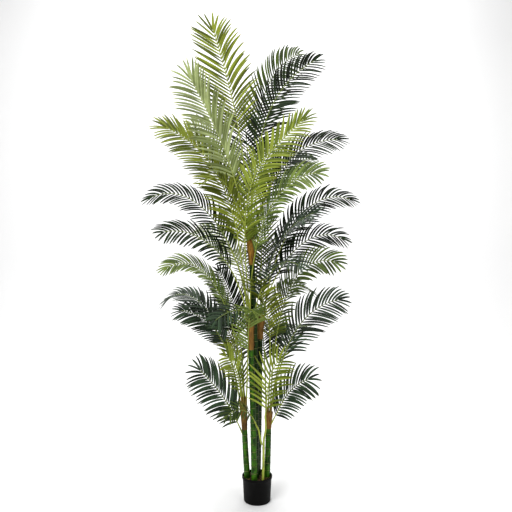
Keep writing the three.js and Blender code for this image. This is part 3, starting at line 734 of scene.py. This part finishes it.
def rib_widths(frond, shares):
    bare = frond["bare"]
    return np.interp(shares, [0, bare, 1], [RIB_FOOT_WIDTH, RIB_BLADE_WIDTH, RIB_TIP_WIDTH])


def grow_rib(joined, frond, rib):
    """A tapered rib, its foot sunk in what carries it."""
    sections = int(rib.length / RIB_SPAN)
    shares = np.linspace(0, 1, sections)
    centre, along, side, face = rib.axes(shares)
    centre[0] -= along[0] * RIB_SUNK
    widths = rib_widths(frond, shares)
    angles = np.arange(RIB_SIDES) * 2 * math.pi / RIB_SIDES + math.pi / RIB_SIDES
    outline = (np.cos(angles), -np.sin(angles))
    rings = tube_rings(centre, side, face, outline, widths / 2, widths * RIB_DEPTH / 2)
    marks = np.stack([np.tile(np.arange(RIB_SIDES) / RIB_SIDES, sections), np.repeat(shares, RIB_SIDES)], 1)
    joined.add(rings, tube_faces(sections, RIB_SIDES), marks)


# Leaflets

def leaf_share(place):
    early = LEAF_FIRST + (1 - LEAF_FIRST) * np.sin(math.pi / 2 * np.minimum(place / LEAF_PEAK, 1))
    late = 1 - (1 - LEAF_LAST) * (np.maximum(place - LEAF_PEAK, 0) / (1 - LEAF_PEAK)) ** LEAF_WANE
    return np.minimum(early, late)


def closing(place):
    """How far the last few leaflets have closed up and shortened."""
    return (np.maximum(place - 1 + END_SPAN, 0) / END_SPAN) ** END_CURVE


def leaf_angle(place):
    """The angle from the rib, in degrees."""
    angle = ANGLE_FIRST + (ANGLE_LAST - ANGLE_FIRST) * place
    return angle + (ANGLE_END - angle) * closing(place)


def upper_side(place, side, hands):
    """How far a leaflet is one of its blade's upper side."""
    return np.clip(LEAN_ONSET * hands * side[:, 2], 0, 1) * (1 - closing(place))


def leaf_paths(roots, axes, hands, lengths, angles, lifts, arches, sag):
    """Points, directions and fore edges of each leaflet from its root to its tip."""
    along, side, face = axes
    outward = side * (hands * np.cos(lifts))[:, None] + face * np.sin(lifts)[:, None]
    points = [roots]
    ways = []
    fores = []
    fore = along
    for station, share in enumerate(LEAF_STATIONS):
        angle = angles + arches * share
        way = along * np.cos(angle)[:, None] + outward * np.sin(angle)[:, None]
        way = unit(way - UP * sag * share)
        fore = unit(fore - way * (fore * way).sum(-1, keepdims=True))
        ways.append(way)
        fores.append(fore)
        if station + 1 < len(LEAF_STATIONS):
            step = LEAF_STATIONS[station + 1] - share
            points.append(points[-1] + way * (lengths * step)[:, None])
    return np.stack(points, 1), np.stack(ways, 1), np.stack(fores, 1)


# Ways a leaflet may give way to a limb: its length, then its swing and lift in degrees
YIELDS = [
    (1, 0, 0), (1, 12, 0), (1, -12, 0), (1, 0, 20),
    (1, 0, -20), (0.8, 14, 14), (0.6, 0, 20), (0.5, 0, -20),
]


def grow_leaves(joined, frond, rib, seed):
    """Leaflets on both sides of one rib, joined to the rest of their tone."""
    pairs = int(rib.length * (1 - frond["bare"]) / frond["pitch"])
    places = np.repeat(np.arange(pairs + 1) / pairs, 2)
    hands = np.tile([1.0, -1.0], pairs + 1)
    seeds = seed + np.arange(len(hands)) * LEAF_SEED
    drift = (scatter(seeds + 0.2) - 0.5) * ROOT_DRIFT / pairs
    shares = frond["bare"] + (1 - frond["bare"]) * np.clip(places + drift, 0, 1)
    centre, along, side, face = rib.axes(shares)
    widths = rib_widths(frond, shares)
    roots = centre + side * (hands * widths * ROOT_OUT)[:, None] + face * (widths * ROOT_UP)[:, None]
    lengths = frond["leaf"] * leaf_share(places)
    lengths *= 1 + LENGTH_SPREAD * (scatter(seeds) - 0.5)
    lengths *= 1 - END_LOSS * closing(places)
    upper = upper_side(places, side, hands)
    angles = leaf_angle(places) + ANGLE_SPREAD * (scatter(seeds + 0.37) - 0.5) - frond["lean"] * upper
    arches = np.radians(frond["arch"] * upper)
    lifts = frond["fold"] + LIFT_SPREAD * (scatter(seeds + 0.71) - 0.5)
    waiting = np.ones(len(hands), bool)
    chosen = None
    for shorten, swing, raise_by in YIELDS:
        turned = np.radians(angles + swing)
        lifted = np.radians(lifts + raise_by)
        reach = lengths * shorten
        grown = leaf_paths(roots, (along, side, face), hands, reach, turned, lifted, arches, frond["sag"])
        if chosen is None:
            chosen = [part.copy() for part in grown]
        taken = waiting & clear_of_limbs(grown[0][:, 2:])
        for held, part in zip(chosen, grown):
            held[taken] = part[taken]
        waiting &= ~taken
    kept = ~waiting
    width = LEAF_WIDTH + LEAF_WIDTH_GAIN * frond["leaf"]
    shape_leaves(joined, [part[kept] for part in chosen], hands[kept], face[kept], seeds[kept], width)


def shape_leaves(joined, paths, hands, face, seeds, width):
    """Folded blades along the paths: a fore edge, a ridge, a hind edge and a keel at each station."""
    points, ways, fore = paths
    ridge = unit(np.cross(fore, ways))
    ridge *= np.sign((ridge[:, :1] * face[:, None]).sum(-1, keepdims=True))
    twist = np.radians(LEAF_TWIST) * (scatter(seeds + 0.53) - 0.5)[:, None, None] * 2
    twist = twist * LEAF_STATIONS[None, :, None]
    turned_fore = fore * np.cos(twist) + ridge * np.sin(twist)
    turned_ridge = ridge * np.cos(twist) - fore * np.sin(twist)
    widths = width / 2 * (LEAST_WIDTH + WIDTH_SPREAD * scatter(seeds + 0.11))
    wide = widths[:, None, None] * LEAF_WIDTHS[None, :, None]
    dip = turned_ridge * wide * LEAF_FOLD
    sections = np.stack([
        points + turned_fore * wide - dip,
        points,
        points - turned_fore * wide - dip,
        points - turned_ridge * LEAF_THICKNESS,
    ], 2)
    stations = len(LEAF_STATIONS)
    marks = np.stack([
        np.tile([0.0, 0.5, 1.0, 0.5], stations),
        np.repeat(LEAF_STATIONS, LEAF_SIDES),
    ], 1)
    outwards = tube_faces(stations, LEAF_SIDES)
    inwards = [face_corners[::-1] for face_corners in outwards]
    for leaf, hand, seed in zip(sections, hands, seeds):
        shade = int(scatter(seed + 0.9) > LIGHT_SHARE)
        faces = outwards if hand > 0 else inwards
        joined.add(leaf.reshape(-1, 3), faces, marks, [shade] * len(faces))


def grow_fronds():
    """All the fronds: their leaflets and their ribs, joined by tone."""
    leaves = {tone: Joined(f"leaflets_{tone}") for tone in TONES}
    ribs = {tone: Joined(f"ribs_{tone}") for tone in TONES}
    nodes = {tone: [] for tone in TONES}
    for place, frond in enumerate(FRONDS):
        rib = Rib(frond)
        tone = frond["tone"]
        nodes[tone].append(frond["node"])
        grow_rib(ribs[tone], frond, rib)
        grow_leaves(leaves[tone], frond, rib, place * FROND_SEED)
    for tone, (light, deep, stalk, gloss) in TONES.items():
        light_finish = leaf_finish(f"{tone}_leaflet_light", light, gloss)
        deep_finish = leaf_finish(f"{tone}_leaflet_deep", deep, gloss)
        blades = leaves[tone].piece([light_finish, deep_finish], LEAF_SIDES)
        settle(blades, f"foliage_{tone}", *nodes[tone])
        settle(ribs[tone].piece([rib_finish(f"{tone}_rib", stalk)]), f"foliage_{tone}", *nodes[tone])


class Growth(Board):
    """A Geometry Nodes tree with named inputs for its sizes."""

    def __init__(self, name, **sizes):
        super().__init__(bpy.data.node_groups.new(name, "GeometryNodeTree"))
        self.tree.interface.new_socket("Geometry", in_out="INPUT", socket_type="NodeSocketGeometry")
        self.tree.interface.new_socket("Geometry", in_out="OUTPUT", socket_type="NodeSocketGeometry")
        self.sizes = {}
        for size, value in sizes.items():
            socket = self.tree.interface.new_socket(size, in_out="INPUT", socket_type="NodeSocketFloat")
            self.sizes[socket.identifier] = value
        self.entry = self.tree.nodes.new("NodeGroupInput")

    def size(self, name):
        return Link(self, self.entry.outputs[name])

    def place(self):
        return self.node("GeometryNodeInputPosition")

    def height(self):
        return self.axis(self.place(), "Z")

    def less(self, first, second):
        return self.node("FunctionNodeCompare", {"operation": "LESS_THAN"}, {0: first, 1: second})

    def tube(self, pitch, radius, sides):
        """A closed tube round the base's line, with sections a pitch apart."""
        line = self.node("GeometryNodeMeshToCurve", {}, {0: self.size("Geometry")})
        line = self.node("GeometryNodeResampleCurve", {"mode": "LENGTH"}, {"Curve": line, "Length": pitch})
        profile = self.node("GeometryNodeCurvePrimitiveCircle", {}, {"Resolution": sides, "Radius": 1.0})
        values = {"Curve": line, "Profile Curve": profile, "Scale": radius, "Fill Caps": True}
        return self.node("GeometryNodeCurveToMesh", {}, values)

    def swell(self, mesh, relief):
        """Moves a mesh's surface out by a relief."""
        normal = self.node("GeometryNodeInputNormal")
        shift = self.node("ShaderNodeVectorMath", {"operation": "SCALE"}, {0: normal, "Scale": relief})
        return self.node("GeometryNodeSetPosition", {}, {"Geometry": mesh, "Offset": shift})

    def strew(self, mesh, density, seed, **chosen):
        """Points strewn over a mesh, or over the faces chosen by its Selection."""
        values = {"Mesh": mesh, "Density": density, "Seed": seed, **chosen}
        return self.node("GeometryNodeDistributePointsOnFaces", {}, values)

    def set_out(self, points, shape, sizes, seed, **turned):
        """A shape on each point, scaled at random from the least size to the greatest."""
        values = {2: sizes[0], 3: sizes[1], "Seed": seed}
        scale = self.node("FunctionNodeRandomValue", {"data_type": "FLOAT"}, values, 1)
        values = {"Points": points, "Instance": shape, "Scale": scale, **turned}
        return self.node("GeometryNodeInstanceOnPoints", {}, values)

    def join(self, first, second):
        both = self.node("GeometryNodeJoinGeometry", {}, {0: first})
        self.tree.links.new(second.socket, both.socket.node.inputs[0])
        return both

    def finish_with(self, geometry, finish):
        realized = self.node("GeometryNodeRealizeInstances", {}, {0: geometry})
        smooth = self.node("GeometryNodeSetShadeSmooth", {}, {0: realized})
        dressed = self.node("GeometryNodeSetMaterial", {}, {0: smooth, "Material": finish})
        leave = self.tree.nodes.new("NodeGroupOutput")
        self.tree.links.new(dressed.socket, leave.inputs[0])

    def grow(self, base, name):
        """Runs the tree on a base and returns the result as a plain mesh object."""
        modifier = base.modifiers.new("growth", "NODES")
        modifier.node_group = self.tree
        for identifier, value in self.sizes.items():
            modifier[identifier] = value
        graph = bpy.context.evaluated_depsgraph_get()
        mesh = bpy.data.meshes.new_from_object(base.evaluated_get(graph))
        bpy.data.objects.remove(base)
        return add_object(name, mesh)


def line_base(points):
    """A bare line through points, for a tree to grow on."""
    mesh = bpy.data.meshes.new("line")
    edges = [(start, start + 1) for start in range(len(points) - 1)]
    mesh.from_pydata((np.asarray(points) * MM).tolist(), edges, [])
    return add_object("line", mesh)


def ringed_cane(cane, finish):
    """A coated cane with a rough collar and small knobs at each ring."""
    foot, top = cane_ends(cane)
    growth = Growth(f"ringed_{cane['crown']}", foot=foot[2] * MM, rise=(top[2] - foot[2]) * MM,
                    wide=CANE_FOOT_RADIUS * MM, narrow=CANE_TOP_RADIUS * MM, pitch=RING_PITCH * MM)
    risen = growth.height() - growth.size("foot")
    share = risen / growth.size("rise")
    radius = growth.size("wide") + (growth.size("narrow") - growth.size("wide")) * share
    tube = growth.tube(CANE_SECTION * MM, radius, CANE_FACES)
    gap = growth.maths("PINGPONG", risen, growth.size("pitch") / 2)
    place = growth.place()
    rough = growth.noise(place, 130.0, 2.0)
    relief = rough * (COLLAR_RELIEF * MM) + COLLAR_RISE * MM
    collar = (1 - growth.within(gap, 0.0, COLLAR_SPAN * MM)) * relief
    swelling = growth.noise(place, 16.0, 2.0) * (CANE_RELIEF * MM) - CANE_RELIEF * MM / 2
    tube = growth.swell(tube, collar + swelling)
    values = {"Radius": KNOB_RADIUS * MM, "Subdivisions": 2}
    knob = growth.node("GeometryNodeMeshIcoSphere", {}, values)
    near = growth.less(gap, KNOB_SPAN * MM)
    points = growth.strew(tube, KNOB_DENSITY, seed=len(cane["crown"]), Selection=near)
    knobs = growth.set_out(points, knob, KNOB_SIZES, seed=4)
    growth.finish_with(growth.join(knobs, tube), finish)
    line = line_base(cane_line(cane, np.linspace(0, 1, CANE_POINTS)))
    return growth.grow(line, f"ringed_{cane['crown']}_cane")


def fibrous_sheath(cane, finish):
    """A flaring sheath with lengthwise fibres and loose strands."""
    foot, head = shaft_ends(cane)
    growth = Growth(f"sheath_{cane['crown']}", foot=foot[2] * MM, rise=(head[2] - foot[2]) * MM,
                    narrow=SHAFT_FOOT_RADIUS * MM, wide=SHAFT_HEAD_RADIUS * MM, flare=SHAFT_FLARE)
    share = (growth.height() - growth.size("foot")) / growth.size("rise")
    flare = growth.size("flare") + (1 - growth.size("flare")) * share
    spread = (growth.size("wide") - growth.size("narrow")) * share * share * flare
    lip = growth.within(share, 0.93, 1.0) * (SHAFT_LIP * MM)
    tube = growth.tube(SHEATH_SECTION * MM, growth.size("narrow") + spread - lip, SHEATH_FACES)
    stretched = growth.vectors("MULTIPLY", growth.place(), (260, 260, 7))
    relief = growth.noise(stretched, 1.0, 3.0) * (SHEATH_RELIEF * MM) - SHEATH_RELIEF * MM / 2
    tube = growth.swell(tube, relief)
    step = tuple(length * MM for length in STRAND_STEP)
    strand = growth.node("GeometryNodeMeshLine", {}, {"Count": STRAND_POINTS, "Offset": step})
    strand = growth.node("GeometryNodeMeshToCurve", {}, {0: strand})
    values = {"Resolution": 4, "Radius": STRAND_RADIUS * MM}
    profile = growth.node("GeometryNodeCurvePrimitiveCircle", {}, values)
    thinning = 1 - growth.node("GeometryNodeSplineParameter") * STRAND_THINNING
    values = {"Curve": strand, "Profile Curve": profile, "Scale": thinning, "Fill Caps": True}
    strand = growth.node("GeometryNodeCurveToMesh", {}, values)
    points = growth.strew(tube, STRAND_DENSITY, seed=7)
    normal = Link(growth, points.socket.node.outputs["Normal"])
    leaning = growth.vectors("MULTIPLY_ADD", normal, (STRAND_LEAN, STRAND_LEAN, 0), (0, 0, 1))
    turn = growth.node("FunctionNodeAlignRotationToVector", {"axis": "Z"}, {"Vector": leaning})
    strands = growth.set_out(points, strand, STRAND_SIZES, seed=9, Rotation=turn)
    growth.finish_with(growth.join(strands, tube), finish)
    return growth.grow(line_base([foot, (foot + head) / 2, head]), f"fibrous_{cane['crown']}_sheath")


def smooth_route(route, radii):
    """Points and radii along a smooth line through a route."""
    places = np.array(route, float)
    padded = np.vstack([2 * places[0] - places[1], places, 2 * places[-1] - places[-2]])
    points = []
    steps = np.linspace(0, 1, STEM_STEPS, endpoint=False)[:, None]
    for start in range(len(places) - 1):
        before, first, second, after = padded[start:start + 4]
        points.append(0.5 * (2 * first + (second - before) * steps
                             + (2 * before - 5 * first + 4 * second - after) * steps ** 2
                             + (3 * first - before - 3 * second + after) * steps ** 3))
    points = np.vstack([*points, places[-1:]])
    widths = np.interp(np.arange(len(points)) / STEM_STEPS, np.arange(len(radii)), radii)
    return points, widths


def thin_stem(name, stem, finish):
    """A thin wired stem, swollen at its nodes, with its foot sunk in what carries it."""
    points, widths = smooth_route(stem["route"], stem["radii"])
    along = unit(np.gradient(points, axis=0))
    points[0] -= along[0] * STEM_SUNK
    across = unit(np.cross(FRONT, along))
    over = np.cross(along, across)
    knots = 1 + KNOT_SWELL * np.exp(-((points[:, 2] % KNOT_PITCH - KNOT_PITCH / 2) / KNOT_SPAN) ** 2)
    angles = np.arange(STEM_SIDES) * 2 * math.pi / STEM_SIDES
    outline = (np.cos(angles), np.sin(angles))
    joined = Joined(f"wired_{name}")
    rings = tube_rings(points, across, over, outline, widths * knots, widths * knots)
    joined.add(rings, tube_faces(len(points), STEM_SIDES))
    return joined.piece([finish])


def frond_boots(finish):
    """Brown fibrous bases that clasp the fronds' stalks on the sheaths."""
    joined = Joined("frond_boots")
    for frond in FRONDS:
        if frond["ring"] in ("inner", "outer"):
            rib = Rib(frond)
            shares = np.linspace(0, BOOT_LENGTH / rib.length, len(BOOT_WIDTHS))
            centre, along, side, face = rib.axes(shares)
            centre[0] -= along[0] * RIB_SUNK
            angles = -np.arange(BOOT_SIDES) * 2 * math.pi / BOOT_SIDES
            ragged = 1 + BOOT_RAGGED * np.sin(angles * BOOT_LOBES + frond["tip"][0])
            outline = (np.cos(angles) * ragged, np.sin(angles) * ragged)
            rings = tube_rings(centre, side, face, outline, BOOT_WIDTHS / 2, BOOT_WIDTHS * BOOT_DEPTH)
            joined.add(rings, tube_faces(len(shares), BOOT_SIDES))
    return joined.piece([finish])


# Pot and filling

def arc(centre, radius, start, end, steps):
    angles = np.radians(np.linspace(start, end, steps))
    return [(centre[0] + radius * math.cos(angle), centre[1] + radius * math.sin(angle)) for angle in angles]


def lathe(name, outline, sides, finish):
    """A closed shell turned round the pot's axis: the outline starts and ends on the axis."""
    joined = Joined(name)
    angles = np.arange(sides) * 2 * math.pi / sides
    rings = [[(radius * math.cos(angle), radius * math.sin(angle), height) for angle in angles]
             for radius, height in outline[1:-1]]
    corners = np.array(rings).reshape(-1, 3)
    faces = tube_faces(len(rings), sides)[:-2]
    ends = np.array([(0, 0, outline[0][1]), (0, 0, outline[-1][1])])
    low = len(corners)
    last = (len(rings) - 1) * sides
    for side in range(sides):
        following = (side + 1) % sides
        faces.append([low, following, side])
        faces.append([low + 1, last + side, last + following])
    joined.add(np.vstack([corners, ends]), faces)
    return joined.piece([finish])


def potting():
    """The pot: rounded foot, tapering wall, a proud rim band with a rolled lip, and its inside."""
    edge = POT_FLAT_RADIUS
    band = POT_SHOULDER_HEIGHT + POT_BAND_RISE
    band_edge = (POT_RIM_RADIUS - POT_BAND_ROUND, band + POT_BAND_ROUND)
    outline = [(0, 0), (edge * 0.5, 0)]
    outline += arc((edge, POT_EDGE_ROUND), POT_EDGE_ROUND, -90, -8, 8)
    outline += [(POT_SHOULDER_RADIUS, POT_SHOULDER_HEIGHT)]
    outline += arc(band_edge, POT_BAND_ROUND, -60, 0, 4)
    outline += arc((POT_RIM_RADIUS - POT_LIP, POT_HEIGHT - POT_LIP), POT_LIP, 0, 180, 9)
    outline += [(POT_RIM_RADIUS - POT_WALL, band), (POT_SHOULDER_RADIUS - POT_WALL, POT_SHOULDER_HEIGHT)]
    outline += [(edge + POT_EDGE_ROUND - POT_WALL, POT_WALL), (0, POT_WALL)]
    return lathe("nursery_pot", outline, POT_SIDES, pot_finish())


def soil():
    """The set mix: crossing waves on its top, which meets the pot's wall."""
    joined = Joined("set_mix")
    angles = np.arange(MIX_SIDES) * 2 * math.pi / MIX_SIDES
    radii = np.concatenate([[MIX_FOOT_RADIUS], np.linspace(FILLING_RADIUS, MIX_CENTRE_RADIUS, MIX_RINGS)])
    rings = []
    for place, radius in enumerate(radii):
        x = radius * np.cos(angles)
        y = radius * np.sin(angles)
        relief = (np.sin(x * 0.21 + 1.3) * np.cos(y * 0.17) + np.sin(x * 0.53 + y * 0.41) * 0.6
                  + np.sin(y * 0.93 - x * 0.37) * 0.35) * FILLING_RELIEF / 2
        height = FILLING_HEIGHT + relief if place else np.full(MIX_SIDES, float(MIX_FOOT_HEIGHT))
        rings.append(np.stack([x, y, height], 1))
    joined.add(np.concatenate(rings), tube_faces(len(radii), MIX_SIDES))
    return joined.piece([soil_finish()])


def crumbs(base, name, finish, density, shape, seed):
    """Small chips or fibres scattered over the mix's top, with their ends inside the pot's wall."""
    longest = CRUMB_RADIUS * max(shape) * CRUMB_SIZES[1]
    growth = Growth(name, density=density, top=(FILLING_HEIGHT - 2 * FILLING_RELIEF) * MM,
                    reach=(FILLING_RADIUS - longest) * MM)
    flat = growth.vectors("MULTIPLY", growth.place(), (1, 1, 0))
    out = growth.node("ShaderNodeVectorMath", {"operation": "LENGTH"}, {0: flat}, "Value")
    above = growth.less(growth.size("top"), growth.height())
    inside = growth.less(out, growth.size("reach"))
    chosen = growth.node("FunctionNodeBooleanMath", {"operation": "AND"}, {0: above, 1: inside})
    points = growth.strew(growth.size("Geometry"), growth.size("density"), seed, Selection=chosen)
    values = {"Radius": CRUMB_RADIUS * MM, "Subdivisions": 1}
    chip = growth.node("GeometryNodeMeshIcoSphere", {}, values)
    chip = growth.node("GeometryNodeTransform", {}, {0: chip, "Scale": shape})
    values = {0: (-CRUMB_TILT, -CRUMB_TILT, 0), 1: (CRUMB_TILT, CRUMB_TILT, CRUMB_TURN), "Seed": seed}
    turn = growth.node("FunctionNodeRandomValue", {"data_type": "FLOAT_VECTOR"}, values)
    turn = growth.node("FunctionNodeEulerToRotation", {}, {0: turn})
    growth.finish_with(growth.set_out(points, chip, CRUMB_SIZES, seed, Rotation=turn), finish)
    copy = base.copy()
    copy.data = base.data.copy()
    bpy.context.scene.collection.objects.link(copy)
    return growth.grow(copy, name)


# Studio

def studio():
    """A pale floor that sweeps up into a backdrop, soft lights and the camera."""
    joined = Joined("studio_sweep")
    sweep = [(FLOOR_FRONT, 0), (FLOOR_BACK, 0)]
    sweep += [(FLOOR_BACK + SWEEP_RADIUS * math.sin(angle), SWEEP_RADIUS - SWEEP_RADIUS * math.cos(angle))
              for angle in np.radians(np.linspace(8, 90, 12))]
    sweep += [(FLOOR_BACK + SWEEP_RADIUS, STUDIO_HEIGHT)]
    sides = (-STUDIO_HALF_WIDTH, STUDIO_HALF_WIDTH)
    corners = np.array([(x, y, z) for y, z in sweep for x in sides], float)
    faces = [[place * 2, place * 2 + 1, place * 2 + 3, place * 2 + 2] for place in range(len(sweep) - 1)]
    joined.add(corners, faces)
    white = Finish("studio_white", Base_Color=(0.93, 0.93, 0.93, 1), Roughness=0.9, Specular_IOR_Level=0.1)
    joined.piece([white.material])

    def softbox(name, spot, aim, size, watts):
        """A square light at a spot, in metres, that faces its aim."""
        light = bpy.data.lights.new(name, "AREA")
        light.size = size
        light.energy = watts
        lamp = add_object(name, light)
        lamp.location = spot
        lamp.rotation_euler = (Vector(aim) - Vector(spot)).to_track_quat("-Z", "Y").to_euler()

    softbox("key_softbox", (-2.4, -4.2, 4.4), (0, 0, 1.6), 3.0, 250)
    softbox("fill_softbox", (3.4, -4.0, 2.4), (0, 0, 1.3), 2.6, 85)
    softbox("top_softbox", (0.2, 0.6, 5.6), (0, 0, 1.2), 3.0, 150)
    softbox("backdrop_softbox", (0, 2.4, 6.5), (0, 4.9, 2.0), 4.0, 200)
    bpy.context.scene.view_settings.view_transform = "Standard"
    world = bpy.data.worlds.new("studio_air")
    world.use_nodes = True
    air = world.node_tree.nodes["Background"].inputs
    air["Color"].default_value = (1, 1, 1, 1)
    air["Strength"].default_value = 0.3
    bpy.context.scene.world = world

    lens = bpy.data.cameras.new("photo_view")
    lens.lens = CAMERA_LENS
    camera = add_object("photo_view", lens)
    camera.location = CAMERA_PLACE
    camera.rotation_euler = (math.pi / 2, 0, 0)
    bpy.context.scene.camera = camera


studio()
plant_fronds()
grow_fronds()

green_cane = cane_finish("green_cane", "#38650a", "#152c04")
dark_cane = cane_finish("dark_green_cane", "#223f0b", "#0d1e04")
brown_sheath = sheath_finish("brown_sheath", "#8a622a", "#553c16")
golden_sheath = sheath_finish("golden_sheath", "#a8782a", "#43300c")
for cane in CANES:
    coat = dark_cane if cane["crown"] in ("rear", "tall") else green_cane
    husk = golden_sheath if cane["crown"] == "tall" else brown_sheath
    settle(ringed_cane(cane, coat), "cane", f"cane_{cane['crown']}")
    settle(fibrous_sheath(cane, husk), "crownshaft", f"crownshaft_{cane['crown']}")
boots = frond_boots(sheath_finish("boot_fibre", "#86803a", "#6a4a20"))
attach(boots, "root")

yellow_green = rib_finish("yellow_green_stem", "#7f8432")
for name, stem in STEMS.items():
    settle(thin_stem(name, stem, yellow_green), "thin_stem", name)

settle(potting(), "pot", "pot")
mix = soil()
bark = crumb_finish("bark_chip", "#5a4227", "#2a1d10")
pale = crumb_finish("pale_fibre", "#8d7a50", "#5d5a2c")
chips = crumbs(mix, "bark_chips", bark, CHIP_DENSITY, CHIP_SHAPE, seed=3)
fibre = crumbs(mix, "pale_fibre", pale, FIBRE_DENSITY, FIBRE_SHAPE, seed=8)
settle(mix, "filling", "pot_filling")
for scrap in (chips, fibre):
    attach(scrap, "root")
